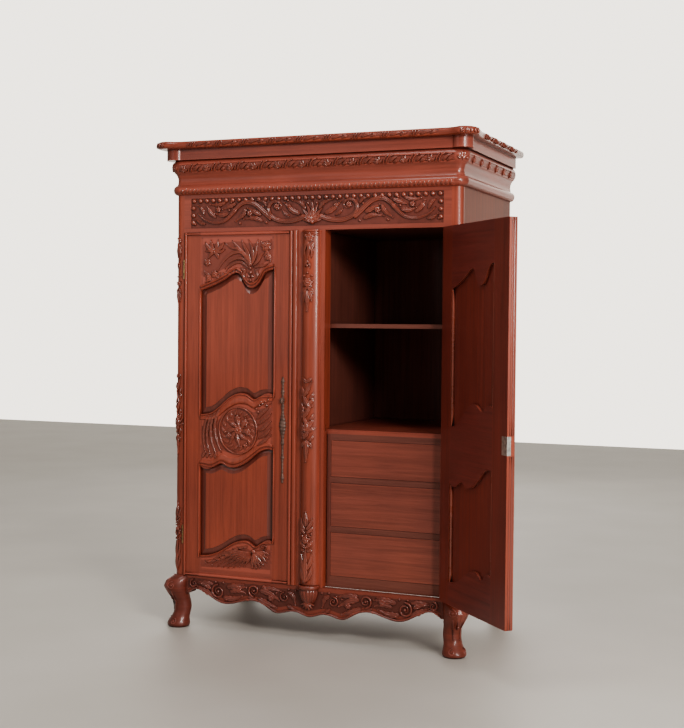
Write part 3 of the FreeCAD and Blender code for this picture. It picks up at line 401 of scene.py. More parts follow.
class Carving:
    """Relief of one piece of carving, gathered shape by shape."""

    def __init__(self, lay):
        self.lay = lay
        self.mesh = bmesh.new()

    def patch(self, rows):
        """A patch over rows of (across, up, out) points, closed at its back."""
        grid = [[self.mesh.verts.new(self.lay(*point)) for point in row] for row in rows]
        for near, far in zip(grid, grid[1:]):
            for n in range(len(near) - 1):
                self.mesh.faces.new((near[n], near[n + 1], far[n + 1], far[n]))
        right = [row[-1] for row in grid[1:-1]]
        left = [row[0] for row in grid[-2:0:-1]]
        self.mesh.faces.new((grid[0] + right + grid[-1][::-1] + left)[::-1])

    def tube(self, rings):
        """A closed body through rings of (across, up, out) points, capped at both ends."""
        grid = [[self.mesh.verts.new(self.lay(*point)) for point in ring] for ring in rings]
        for near, far in zip(grid, grid[1:]):
            for n in range(len(near)):
                m = (n + 1) % len(near)
                self.mesh.faces.new((near[n], near[m], far[m], far[n]))
        self.mesh.faces.new(grid[0][::-1])
        self.mesh.faces.new(grid[-1])

    def blade(self, path, width, rise=5 * MM, steps=4, heel=0.1, ribs=2, teeth=0):
        """A crowned leaf along a curved path, fluted into ribs, its edge cut into rounded teeth.

        heel is its share of width at the foot.
        """
        spine = smooth(path, steps)
        last = len(spine) - 1
        flutes = 4 * ribs
        rows = []
        for n, point in enumerate(spine):
            along = n / last
            ahead = spine[min(n + 1, last)] - spine[max(n - 1, 0)]
            across = Vector((-ahead.y, ahead.x)).normalized()
            swell = math.sin(math.pi * (0.07 + 0.9 * along) ** 0.8)
            taper = heel * (1 - along) ** 0.5 if heel > 0.5 else 0.0
            spread = width / 2 * max(heel * (1 - along), taper, 0.06, 0.0 if taper else swell)
            if teeth:
                spread *= 0.72 + 0.28 * abs(math.sin(math.pi * teeth * along))
            lift = rise * (0.5 + 0.5 * math.sin(math.pi * min(along + 0.12, 1)))
            row = []
            for k in range(flutes + 1):
                v = 2 * k / flutes - 1
                crown = math.sqrt(1 - v * v) * (0.55 + 0.45 * abs(math.sin(math.pi * ribs * (v + 1) / 2)))
                spot = point + across * spread * v
                row.append((spot.x, spot.y, lift * crown - (SINK if abs(v) == 1 else 0)))
            rows.append(row)
        self.patch(rows)

    def leaf(self, base, tip, width, bend=0.0, rise=5 * MM, steps=4):
        """A leaf between two points; bend bows its spine to the left."""
        base, tip = Vector(base), Vector(tip)
        run = tip - base
        normal = Vector((-run.y, run.x)).normalized()
        self.blade([base, (base + tip) / 2 + normal * bend, tip], width, rise, steps)

    def plume(self, path, width, rise=6 * MM, barbs=7, hands=(-1, 1), sweep=0.9):
        """A curved leaf feathered along its sides by smaller leaves that sweep forward."""
        spine = smooth(path, 6)
        last = len(spine) - 1
        for n in range(barbs):
            along = (n + 0.4) / (barbs + 0.8)
            k = round(along * last)
            ahead = (spine[min(k + 1, last)] - spine[max(k - 1, 0)]).normalized()
            normal = Vector((-ahead.y, ahead.x))
            reach = width * (1.0 - 0.45 * along)
            for hand in hands:
                tip = spine[k] + (ahead * sweep + normal * hand).normalized() * reach
                self.leaf(spine[k], tip, reach * 0.42, hand * reach * -0.16, rise * 0.82, 3)
        self.blade(path, width * 0.44, rise, 5, 0.5)

    def stem(self, path, width, rise, end=0.4, steps=5):
        """A half-round stem through the points, tapering to a share of its width."""
        spine = smooth(path, steps)
        last = len(spine) - 1
        rows = []
        for n, point in enumerate(spine):
            ahead = spine[min(n + 1, last)] - spine[max(n - 1, 0)]
            across = Vector((-ahead.y, ahead.x)).normalized()
            share = 1 + (end - 1) * n / last
            row = []
            for v in (-1, -0.6, 0, 0.6, 1):
                spot = point + across * width / 2 * share * v
                row.append((spot.x, spot.y, rise * share * math.sqrt(1 - v * v) - (SINK if abs(v) == 1 else 0)))
            rows.append(row)
        self.patch(rows)

    def bead(self, centre, radius, rise=None, sides=8):
        rise = rise or radius * 0.85
        rings = []
        for share, lift in ((1, -SINK / rise), (0.86, 0.45), (0.5, 0.86)):
            ring = []
            for n in range(sides):
                angle = 2 * math.pi * n / sides
                spot = (centre[0] + radius * share * math.cos(angle), centre[1] + radius * share * math.sin(angle))
                ring.append(self.mesh.verts.new(self.lay(*spot, rise * lift)))
            rings.append(ring)
        crest = self.mesh.verts.new(self.lay(*centre, rise))
        for low, high in zip(rings, rings[1:]):
            for n in range(sides):
                m = (n + 1) % sides
                self.mesh.faces.new((low[n], low[m], high[m], high[n]))
        for n in range(sides):
            self.mesh.faces.new((rings[-1][n], rings[-1][(n + 1) % sides], crest))
        self.mesh.faces.new(rings[0][::-1])

    def scroll(self, centre, radius, start, turns=1.35, hand=1, width=8 * MM, rise=5 * MM):
        """A volute that winds in to a bead."""
        path = []
        count = max(6, round(turns * 9))
        for n in range(count + 1):
            share = n / count
            angle = start + hand * 2 * math.pi * turns * share
            reach = radius * (1 - 0.72 * share)
            path.append((centre[0] + reach * math.cos(angle), centre[1] + reach * math.sin(angle)))
        self.stem(path, width, rise, 0.55, 2)
        self.bead(centre, radius * 0.26, rise * 1.1)

    def flower(self, centre, radius, petals=6, turn=0.0, rise=6 * MM):
        for n in range(petals):
            angle = turn + 2 * math.pi * n / petals
            tip = (centre[0] + radius * math.cos(angle), centre[1] + radius * math.sin(angle))
            self.leaf(centre, tip, radius * 0.85, 0.0, rise)
        self.bead(centre, radius * 0.28, rise * 1.25)

    def fan(self, focus, length, width, first, last, count, rise=6 * MM, bend=0.0):
        """Leaves that spread from a focus between two angles in degrees."""
        for n in range(count):
            share = n / max(count - 1, 1)
            angle = math.radians(first + (last - first) * share)
            reach = length(share) if callable(length) else length
            tip = (focus[0] + reach * math.cos(angle), focus[1] + reach * math.sin(angle))
            self.leaf(focus, tip, width, bend * (1 if share > 0.5 else -1), rise)

    def acanthus(self, path, width, rise=7 * MM, teeth=5):
        """A broad leaf with three flutes, a toothed edge and a curled tip."""
        self.blade(path, width, rise, 3 * teeth // max(len(path) - 1, 1) + 2, 0.35, 3, teeth)
        self.bead(path[-1], width * 0.17, rise * 0.9)

    def cushion(self, low, high, start, end, rise, columns=44, profile=(0, 0.55, 0.9, 1, 0.9, 0.55, 0)):
        """A smooth swelling between two height curves."""
        rows = []
        for n in range(columns + 1):
            s = start + (end - start) * n / columns
            bottom, top = height_on(low, s), height_on(high, s)
            last = len(profile) - 1
            rows.append(
                [
                    (s, bottom + (top - bottom) * k / last, rise * lift - (SINK if k in (0, last) else 0))
                    for k, lift in enumerate(profile)
                ]
            )
        self.patch(rows)

    def finish(self, name, body, material=None, soft=True, hides=()):
        """Makes the piece, sets it to ride on a body, and gives it its wood."""
        bmesh.ops.recalc_face_normals(self.mesh, faces=self.mesh.faces)
        data = bpy.data.meshes.new(name)
        self.mesh.to_mesh(data)
        self.mesh.free()
        for face in data.polygons:
            face.use_smooth = soft
        data.materials.append(material or carved_wood)
        thing = bpy.data.objects.new(name, data)
        bpy.context.scene.collection.objects.link(thing)
        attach(thing, body)
        if hides:
            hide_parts(*hides)
        return thing


def offset(curve, rise):
    return [(s, t + rise) for s, t in curve]


# ------------------------------------------------------------------- doors


def raised_panel(side, name, lower, upper):
    """A panel with a raised field and sloping bevels, between two shaped rails."""
    work = Carving(opening_sheet(side))
    low, high = smooth(metres(lower)), smooth(metres(upper))
    tongue, bevel, lip = 8 * MM, 26 * MM, 3 * MM
    face, lift = -12 * MM, 6.5 * MM

    def spread(length):
        stops = [-tongue, 0, 2 * MM, bevel * 0.5, bevel, bevel + 0.5 * MM]
        inner = [bevel + (length - 2 * bevel) * n / 30 for n in range(2, 29)]
        return stops + inner + [length - stop for stop in reversed(stops)]

    def rise(edge):
        share = min(max(edge / bevel, 0), 1)
        return lift * share + (lip if edge > bevel else 0.0)

    rings = []
    for s in spread(OPENING):
        bottom, top = height_on(low, s), height_on(high, s)
        ring = [(s, top + tongue, PANEL_BACK), (s, bottom - tongue, PANEL_BACK)]
        for t in spread(top - bottom):
            edge = min(s, OPENING - s, t, top - bottom - t)
            ring.append((s, bottom + t, face + rise(edge)))
        rings.append(ring)
    work.tube(rings)
    outward = work.lay(0, 0, 1) - work.lay(0, 0, 0)
    field = work.finish("%s_field" % name, name.rsplit("_", 2)[0], material_for(name), False, (name,))
    # the sloping bevel faces take the darker wood: painted shade
    field.data.materials.append(shaded_bevel_wood)
    for piece in field.data.polygons:
        if 0.05 < piece.normal.dot(outward) < 0.99:
            piece.material_index = 1


def door_mouldings(side, door):
    """Quarter rounds along the stiles and rails, and the ogee bands of the middle rail."""
    work = Carving(opening_sheet(side))
    curves = [smooth(metres(c)) for c in (BOTTOM_CURVE, MIDDLE_LOWER_CURVE, MIDDLE_UPPER_CURVE, TOP_CURVE)]
    bottom, middle_low, middle_high, top = curves
    bead, rise = 9 * MM, 4.5 * MM
    for curve, way in ((bottom, -1), (middle_low, 1), (middle_high, -1), (top, 1)):
        near, far = sorted((0, way * bead))
        work.cushion(offset(curve, near), offset(curve, far), 0, OPENING, rise)
    for low, high in ((bottom, middle_low), (middle_high, top)):
        for s, way in ((0, -1), (OPENING, 1)):
            start, end = height_on(low, s) - bead, height_on(high, s) + bead
            centre = s + way * bead / 2
            work.stem([(centre, start), (centre, (start + end) / 2), (centre, end)], bead, rise, 1.0)
    work.cushion(offset(top, bead + 2 * MM), offset(top, bead + 15 * MM), 0, OPENING, 7 * MM, 60)
    # ogee bands: narrow at the ends, wide at the middle
    for curve, way in ((middle_low, 1), (middle_high, -1)):
        inner = [(s, t + way * (bead + 2 * MM)) for s, t in curve]
        outer = [
            (s, t + way * (bead + (15 + 24 * math.sin(math.pi * s / OPENING)) * MM)) for s, t in curve
        ]
        low, high = (inner, outer) if way > 0 else (outer, inner)
        work.cushion(low, high, 0, OPENING, 5.5 * MM, 44, (0, 0.7, 1, 0.75, 0.45, 0.35, 0))
    work.finish("%s_mouldings" % door, door, upright_wood)


def door_grounds(side, door):
    """The punched ground behind the carving of each rail, darker as painted shade between the carved parts, and beads
    across the door's top and foot.
    """
    work = Carving(opening_sheet(side))
    curves = [smooth(metres(c)) for c in (BOTTOM_CURVE, MIDDLE_LOWER_CURVE, MIDDLE_UPPER_CURVE, TOP_CURVE)]
    bottom, middle_low, middle_high, top = curves
    flat = (0, 1, 1, 1, 0)
    edge, rise = 9 * MM, 0.8 * MM
    level = [(0, 1698 * MM), (OPENING, 1698 * MM)]
    foot = [(0, 266 * MM), (OPENING, 266 * MM)]
    for low, high in (
        (offset(top, 24 * MM), level),
        (offset(middle_low, 26 * MM), offset(middle_high, -26 * MM)),
        (foot, offset(bottom, -14 * MM)),
    ):
        work.cushion(low, high, edge, OPENING - edge, rise, 60, flat)
    work.finish(door + "_grounds", door, shaded_ground_wood, False)
    work = Carving(door_sheet(side))
    low, high = stile_low.z, stile_high.z
    width = lock_high.x - HINGE_EDGE
    for t in (low + 6.5 * MM, high - 6.5 * MM):
        ends = (13 * MM, width - 39 * MM)
        work.stem([(ends[0], t), (sum(ends) / 2, t), (ends[1], t)], 13 * MM, 8 * MM, 1.0)
    work.finish(door + "_end_beads", door, level_wood)
    face = door_sheet(side)
    work = Carving(lambda s, t, h: face(width + h, t, -s))
    runs = ((low + 1 * MM, case_low.z - 3 * MM), (case_high.z + 3 * MM, high - 1 * MM))
    for start, end in runs:
        for s, wide in ((8, 14), (19, 5)):
            work.stem([(s * MM, start), (s * MM, (start + end) / 2), (s * MM, end)], wide * MM, 1.8 * MM, 1.0)
    # the edge beads take the darker bevel wood: painted shade in the edge's grooves
    work.finish(door + "_edge_beads", door, shaded_bevel_wood)
    # half rounds beside the stiles, in the recess of the door's back
    opening = opening_sheet(side)
    work = Carving(lambda s, t, h: opening(s, t, PANEL_BACK - h))
    for low, high in ((bottom, middle_low), (middle_high, top)):
        for s in (5 * MM, OPENING - 5 * MM):
            start, end = height_on(low, s), height_on(high, s)
            work.stem([(s, start), (s, (start + end) / 2), (s, end)], 11 * MM, 10 * MM, 1.0)
    work.finish(door + "_back_beads", door, carved_wood)


def millimetre_path(*points):
    return [(s * MM, t * MM) for s, t in points]


def spandrel(work):
    """A plume that rises from the drop of the rail and sweeps left, with lilies, buds and berries."""
    long_ribs = (
        (((243, 1574), (224, 1612), (188, 1634), (140, 1622), (104, 1588), (76, 1548)), 20),
        (((240, 1578), (208, 1622), (176, 1656), (150, 1684)), 19),
        (((243, 1580), (226, 1628), (206, 1662), (196, 1686)), 18),
        (((246, 1580), (250, 1622), (244, 1656), (228, 1686)), 16),
        (((248, 1580), (262, 1622), (266, 1656), (274, 1686)), 18),
        (((238, 1570), (206, 1602), (172, 1606), (136, 1590), (116, 1560)), 17),
        (((234, 1564), (200, 1588), (168, 1588), (140, 1572), (124, 1556)), 15),
        (((244, 1582), (196, 1640), (148, 1652), (112, 1676)), 15),
        (((250, 1574), (272, 1592), (288, 1618), (306, 1632)), 17),
        (((252, 1568), (284, 1572), (306, 1576), (332, 1590)), 15),
    )
    for path, width in long_ribs:
        work.blade(millimetre_path(*path), width * MM, 9 * MM, 4, 0.45)
    # small leaves between the ribs' feet
    for n in range(7):
        s, t = 214 - 17 * n, 1556 - 4 * n
        work.leaf((s * MM, t * MM), ((s - 24) * MM, (t + 17 - n) * MM), 12 * MM, 5 * MM, 7 * MM)
    # lily at the upper left, with a round bud below it
    lily = (66 * MM, 1634 * MM)
    for tip, width, bend in (
        ((20, 1680), 22, 6), ((48, 1688), 20, 4), ((84, 1688), 20, -3), ((112, 1676), 22, -6),
        ((118, 1646), 17, -5), ((20, 1638), 22, -5), ((36, 1606), 18, -5), ((84, 1604), 18, 6),
    ):
        work.leaf(lily, (tip[0] * MM, tip[1] * MM), width * MM, bend * MM, 10 * MM)
    work.bead(lily, 9 * MM, 11 * MM)
    work.flower((32 * MM, 1590 * MM), 19 * MM, 5, 0.9, 9 * MM)
    # rosettes and leaves at the lower left
    work.flower((66 * MM, 1541 * MM), 17 * MM, 6, 0.2, 8 * MM)
    work.flower((38 * MM, 1520 * MM), 17 * MM, 5, 0.6, 7 * MM)
    for tip in ((14, 1556), (16, 1536), (88, 1524), (18, 1503), (98, 1546)):
        work.leaf((50 * MM, 1530 * MM), (tip[0] * MM, tip[1] * MM), 15 * MM, 3 * MM, 7 * MM)
    # rose and bud at the upper right
    work.flower((312 * MM, 1656 * MM), 26 * MM, 7, 0.4, 10 * MM)
    work.flower((320 * MM, 1610 * MM), 19 * MM, 5, 0.1, 9 * MM)
    for tip in ((284, 1682), (286, 1652), (336, 1686), (300, 1612), (336, 1588)):
        work.leaf((316 * MM, 1640 * MM), (tip[0] * MM, tip[1] * MM), 15 * MM, 3 * MM, 7 * MM)
    # the drop: two curled leaves that hold berries
    for hand in (-1, 1):
        path = ((239 + hand * 22, 1562), (239 + hand * 33, 1532), (239 + hand * 12, 1506))
        work.acanthus(millimetre_path(*path), 20 * MM, 8 * MM, 3)
    for s, t, size in ((239, 1546, 9), (231, 1529, 8), (247, 1529, 8), (239, 1513, 8), (239, 1564, 7)):
        work.bead((s * MM, t * MM), size * MM, 10 * MM)


def medallion(work):
    """A plain oval ring full of flowers and leaves, with sweeping leaves to both sides."""
    centre = Vector((184, 872)) * MM
    half_wide, half_tall = 90 * MM, 99 * MM

    def around(degrees, share):
        angle = math.radians(degrees)
        return centre + Vector((half_wide * math.cos(angle), half_tall * math.sin(angle))) * share

    work.stem([around(n * 10, 1.0) for n in range(37)], 9 * MM, 7.5 * MM, 1.0, 1)
    for n in range(18):
        work.leaf(around(n * 20 + 6, 0.66), around(n * 20 - 8, 0.9), 15 * MM, 3 * MM, 6 * MM)
    # leaves that turn about the middle flower
    for n in range(8):
        turn = 45 * n + 20
        path = [around(turn, 0.16), around(turn + 26, 0.42), around(turn + 34, 0.7)]
        work.acanthus(path, 24 * MM, 9 * MM, 3)
    for turn, share, size, petals in ((42, 0.5, 19, 6), (92, 0.52, 17, 5), (-6, 0.54, 17, 6), (205, 0.54, 15, 5)):
        work.flower(around(turn, share), size * MM, petals, turn, 10 * MM)
    work.flower(centre, 24 * MM, 7, 0.2, 11 * MM)
    for turn in (-50, -62, -74, -38):
        work.bead(around(turn, 0.72), 6 * MM, 8 * MM)
    # left: long leaves that sweep down round the ring
    for path, width in (
        (((96, 962), (80, 930), (72, 880), (84, 818), (104, 776)), 19),
        (((76, 950), (60, 916), (52, 868), (60, 812), (80, 762)), 19),
        (((56, 938), (42, 900), (34, 856), (38, 806), (54, 760)), 18),
        (((36, 928), (24, 890), (18, 850), (20, 806), (28, 768)), 16),
    ):
        work.acanthus(millimetre_path(*path), width * MM, 9 * MM, 8)
    for n in range(4):
        work.leaf(((14 + 20 * n) * MM, 748 * MM), ((30 + 19 * n) * MM, (776 - 2 * n) * MM), 15 * MM, 4 * MM, 7 * MM)
    # right: a fern and berries above, sweeping leaves below
    for path, width in (
        (((276, 924), (296, 950), (318, 968), (338, 992)), 21),
        (((282, 900), (304, 920), (324, 934), (340, 950)), 18),
        (((286, 872), (306, 886), (324, 904), (340, 916)), 17),
        (((284, 842), (308, 856), (328, 874), (340, 888)), 17),
        (((276, 812), (302, 828), (324, 846), (341, 860)), 18),
    ):
        work.acanthus(millimetre_path(*path), width * MM, 9 * MM, 5)
    for s, t in ((300, 990), (312, 1000), (286, 982), (326, 1008), (292, 998), (318, 984), (272, 968), (280, 954)):
        work.bead((s * MM, t * MM), 7 * MM, 8 * MM)


def bottom_spray(work, bottom):
    """Feathered leaves that radiate from the notch, and a shell to the right of it."""
    for n in range(8):
        share = n / 7
        start = (252, 352 - 2 * n)
        end = (36 + 184 * share, 292 - 14 * math.sin(math.pi * share))
        bow = ((start[0] + end[0]) / 2, (start[1] + end[1]) / 2 + 24 * (1 - share))
        work.acanthus(millimetre_path(start, bow, end), (20 - n * 0.5) * MM, 9 * MM, 6)
    for n in range(9):
        s = (34 + 22 * n) * MM
        crest = height_on(bottom, s) - 19 * MM
        work.leaf((s + 24 * MM, crest - 4 * MM), (s - 6 * MM, crest - 5 * MM), 14 * MM, 4 * MM, 7 * MM)
    work.fan((266 * MM, 356 * MM), 74 * MM, 21 * MM, -96, -4, 7, 10 * MM, 4 * MM)
    work.bead((262 * MM, 357 * MM), 12 * MM, 11 * MM)
    work.scroll((312 * MM, 376 * MM), 15 * MM, 3.4, 1.1, -1, 8 * MM, 7 * MM)


def door(side):
    name = "left_door" if side < 0 else "right_door"
    raised_panel(side, name + "_lower_panel", BOTTOM_CURVE, MIDDLE_LOWER_CURVE)
    raised_panel(side, name + "_upper_panel", MIDDLE_UPPER_CURVE, TOP_CURVE)
    door_mouldings(side, name)
    door_grounds(side, name)
    work = Carving(opening_sheet(side))
    spandrel(work)
    medallion(work)
    bottom_spray(work, smooth(metres(BOTTOM_CURVE)))
    work.finish(name + "_carving", name)
    escutcheon(side, name)


def escutcheon(side, name):
    """A slender pewter mount: twisted stems, beads, an oval middle and a knob."""
    lay = door_sheet(side)
    middle = (plate_low.x + plate_high.x) / 2 - HINGE_EDGE
    low, high = plate_low.z, plate_high.z
    work = Carving(lay)
    length = high - low
    rows = []
    count = 150
    for n in range(count + 1):
        along = n / count
        belly = 13.5 * MM * math.exp(-(((along - 0.545) / 0.085) ** 2))
        knots = sum(4.2 * MM * math.exp(-(((along - k) / 0.017) ** 2)) for k in (0.05, 0.24, 0.38, 0.72, 0.86, 0.96))
        half = 5.4 * MM + belly + knots
        twist = 0.85 + 0.15 * math.sin(along * 190)
        row = []
        for v in (-1, -0.75, -0.4, 0, 0.4, 0.75, 1):
            ridge = 1 + 0.18 * math.sin(along * 190 + 3 * v)
            out = (2.2 * MM + 0.34 * half) * math.sqrt(1 - v * v) * ridge
            row.append((middle + half * twist * v, low + length * along, out - (SINK if abs(v) == 1 else 0)))
        rows.append(row)
    work.patch(rows)
    knob_height = 1007 * MM
    for turn in range(8):
        angle = 2 * math.pi * turn / 8
        spot = (middle + 5 * MM * math.cos(angle), knob_height + 13 * MM * math.sin(angle))
        work.bead(spot, 4 * MM, 7 * MM)
    rings = ((5, 3), (4, 7), (4.5, 9), (7, 12), (7.5, 14.5), (5.5, 16.6), (0.6, 17.2))
    rows = []
    for n in range(17):
        angle = 2 * math.pi * n / 16
        rows.append(
            [
                (
                    middle + radius * MM * math.cos(angle),
                    knob_height + 1.7 * radius * MM * math.sin(angle),
                    out * MM,
                )
                for radius, out in rings
            ]
        )
    work.patch(rows)
    work.finish(name + "_mount", name, iron, True, (name + "_escutcheon",))


# ------------------------------------------------------------------- frieze


def frieze():
    """Pearls on three sides, a palmette, and two mirrored vines of acanthus scrolls."""
    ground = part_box("frieze_panel")[0].y
    work = Carving(sheet((0, ground, 0), (1, 0, 0), (0, -1, 0)))
    half, low, high = frieze_high.x, frieze_low.z, frieze_high.z
    middle = (low + high) / 2
    pitch = 31 * MM
    count = int(half // pitch)
    for n in range(-count, count + 1):
        work.bead((n * pitch, high - 11 * MM), 11.5 * MM, 12 * MM)
    for end in (-1, 1):
        for n in range(1, 4):
            work.bead((end * (half - 11 * MM), high - 11 * MM - n * pitch), 11.5 * MM, 12 * MM)
    foot = (0, low + 14 * MM)
    work.fan(foot, lambda share: (46 + 44 * math.sin(math.pi * share)) * MM, 19 * MM, 166, 14, 9, 11 * MM, 3 * MM)
    work.fan(foot, 40 * MM, 14 * MM, 150, 30, 5, 13 * MM)
    work.bead((0, low + 16 * MM), 12 * MM, 14 * MM)
    for hand in (-1, 1):
        frieze_vine(work, hand, middle)
    work.finish("frieze_carving", "carcass")


def frieze_vine(work, hand, middle):
    """One half of the vine: a hooked scroll by the palmette, then a long wave to the end."""

    def path(points):
        return [(hand * s * MM, middle + t * MM) for s, t in points]

    hook = ((28, -22), (84, -40), (138, -42), (184, -24), (202, 8), (188, 36), (160, 40), (142, 24), (152, 8), (168, 12))
    wave = ((186, -32), (226, 2), (268, 34), (312, 42), (348, 22), (376, -8), (414, -36), (462, -42), (510, -26), (540, 2))
    for stroke, width in ((hook, 24), (wave, 26)):
        work.blade(path(stroke), width * MM, 11 * MM, 5, 1.0, 3)
    for points, width in (
        (((56, -14), (92, 2), (128, 34)), 28),
        (((30, 4), (52, 32), (92, 42)), 22),
        (((104, -22), (124, -10), (136, 4)), 17),
        (((236, -14), (262, -2), (300, 16)), 28),
        (((228, -40), (268, -26), (318, -30)), 24),
        (((212, 22), (226, 42), (256, 46)), 18),
        (((308, 16), (322, -12), (356, -38)), 24),
        (((356, 38), (384, 26), (418, 14)), 24),
        (((392, -6), (424, -10), (458, -2)), 24),
        (((404, 44), (440, 34), (478, 36)), 22),
        (((452, -20), (478, 2), (494, 28)), 24),
        (((502, -46), (526, -42), (548, -28)), 18),
        (((508, -6), (520, 18), (540, 34)), 20),
    ):
        work.acanthus(path(points), width * MM, 9 * MM, 4)
    for s, t, radius in ((164, 20, 16), (290, -6, 16), (440, 14, 14), (106, 18, 12), (360, 8, 11)):
        work.flower((hand * s * MM, middle + t * MM), radius * MM, 6, s, 11 * MM)
    for s, t in ((228, 22), (212, -46), (336, -46), (378, 44), (552, -46), (112, 44), (480, 12), (20, 30), (388, 10)):
        work.bead((hand * s * MM, middle + t * MM), 6.5 * MM, 8 * MM)


# ------------------------------------------------------------------- crown


def torus_bulge(low, high, depth):
    middle, half = (low + high) / 2, (high - low) / 2
    radius = (half**2 + depth**2) / (2 * depth)
    return lambda t: max(0.0, math.sqrt(max(0.0, radius**2 - (t - middle) ** 2)) - (radius - depth))


def wrap(low, high, nose, depth):
    """Sheets for the front and both sides of a moulding that swells by depth."""
    bulge = torus_bulge(low, high, depth)
    base = nose - depth
    front = sheet((0, FRONT - base, 0), (1, 0, 0), (0, -1, 0), bulge)
    left = sheet((-SIDE - base, 0, 0), (0, -1, 0), (-1, 0, 0), bulge)
    right = sheet((SIDE + base, 0, 0), (0, 1, 0), (1, 0, 0), bulge)
    return front, left, right


def torus_unit(work, start, low, high, pitch):
    """One repeat: a fan of petals, a double diagonal, and a long smooth leaf."""
    middle = (low + high) / 2
    tall = (high - low) / 2
    for n in range(4):
        angle = math.radians(160 - n * 44)
        tip = (start + (20 + 23 * math.cos(angle)) * MM, middle - tall + 1.9 * tall * math.sin(angle))
        work.leaf((start + 20 * MM, middle - tall), tip, 12 * MM, 0.0, 9 * MM)
    for n in range(2):
        s = start + (40 + 13 * n) * MM
        path = [(s, middle - tall), (s + 8 * MM, middle), (s + 20 * MM, middle + tall)]
        work.stem(path, 7 * MM, 8 * MM, 0.7)
    for base, tip in (((70, -0.9), (pitch / MM - 4, 0.7)), ((64, 0.4), (88, 1.0)), ((88, -1.0), (pitch / MM, -0.4))):
        start_point = (start + base[0] * MM, middle + tall * base[1])
        work.leaf(start_point, (start + tip[0] * MM, middle + tall * tip[1]), 13 * MM, 3 * MM, 9 * MM)


def crown():
    """Leaves and ribbons on the lower half of the torus, and nicks along the bead below it."""
    low, high = torus_low.z, torus_high.z
    front, left, right = wrap(low, high, torus_high.x - SIDE, TORUS_DEPTH)
    carved_low, carved_high = low + 5 * MM, low + 38 * MM
    work = Carving(front)
    pitch = 112 * MM
    count = int(2 * (SIDE - POST_RADIUS) // pitch)
    start = -count * pitch / 2
    for n in range(count):
        torus_unit(work, start + n * pitch, carved_low, carved_high, pitch)
    ground = Carving(front)
    flat = (0, 1, 1, 1, 1, 1, 0)
    edge = SIDE - POST_RADIUS
    ends = [(-edge, carved_low - 2 * MM), (edge, carved_low - 2 * MM)]
    ground.cushion(ends, offset(ends, 37 * MM), -edge, edge, 0.8 * MM, 4, flat)
    for lay in (left, right):
        work.lay = lay
        forward = -1 if lay is left else 1
        ground.lay = lay
        ends = sorted((forward * (FRONT + 45 * MM), forward * (REAR - 10 * MM)))
        ends = [(end, carved_low - 2 * MM) for end in ends]
        ground.cushion(ends, offset(ends, 37 * MM), ends[0][0], ends[1][0], 0.8 * MM, 4, flat)
        for k in range(6):
            s = forward * (FRONT + 80 * MM + 110 * MM * k)
            for n in range(3):
                angle = math.radians(140 - n * 50)
                tip = (s + 22 * MM * math.cos(angle), carved_low + 31 * MM * math.sin(angle))
                work.leaf((s, carved_low), tip, 14 * MM, 0.0, 9 * MM)
    for side in (-1, 1):
        centre = (side * (SIDE - POST_RADIUS), FRONT + POST_RADIUS)
        facing = -math.pi / 4 if side > 0 else -3 * math.pi / 4
        work.lay = round_sheet(*centre, POST_RADIUS + torus_high.x - SIDE - 2 * MM, facing)
        work.flower((0, low + 27 * MM), 20 * MM, 6, 0.3, 7 * MM)
        for hand in (-1, 1):
            work.leaf((hand * 12 * MM, low + 12 * MM), (hand * 32 * MM, low + 30 * MM), 14 * MM, 0.0, 6 * MM)
    work.finish("crown_torus_carving", "carcass")
    ground.finish("crown_torus_ground", "carcass", shaded_ground_wood, False)

    bead_low = moulding_low.z
    front = wrap(bead_low, bead_low + 43 * MM, 19 * MM, 17 * MM)[0]
    ground = Carving(front)
    ends = [(-edge, bead_low + 3 * MM), (edge, bead_low + 3 * MM)]
    ground.cushion(ends, offset(ends, 25 * MM), -edge, edge, 0.8 * MM, 4, flat)
    ground.finish("crown_bead_ground", "carcass", shaded_ground_wood, False)
    work = Carving(front)
    spacing = 19 * MM
    nicks = int(2 * (SIDE - POST_RADIUS) // spacing)
    for n in range(nicks):
        s = (n - (nicks - 1) / 2) * spacing
        work.leaf((s - 4 * MM, bead_low + 4 * MM), (s + 4 * MM, bead_low + 26 * MM), 13 * MM, 0.0, 6 * MM, 3)
    work.finish("crown_gadroons", "carcass")


def top_outline():
    """The top board's edge in plan, from the rear left round the front to the rear right."""
    half, front, nose, rear = 705 * MM, FRONT - 58 * MM, top_low.y, top_high.y
    ear, radius = top_high.x, 60 * MM
    start = ear - radius
    right = [(0.0, front), (start - radius, front), (start - radius * 0.6, front - 5 * MM)]
    right += [(start - radius * 0.25, nose + 4 * MM)]
    for n in range(9):
        angle = math.pi / 2 * n / 8
        right.append((start + radius * math.sin(angle), nose + radius - radius * math.cos(angle)))
    for n in range(1, 6):
        share = n / 6
        ease = 0.5 - 0.5 * math.cos(math.pi * share)
        right.append((ear - 15 * MM * ease, nose + radius + (130 * MM) * share))
    right += [(half, nose + 190 * MM), (half, rear)]
    left = [(-x, y) for x, y in reversed(right)]
    return left[:-1] + right


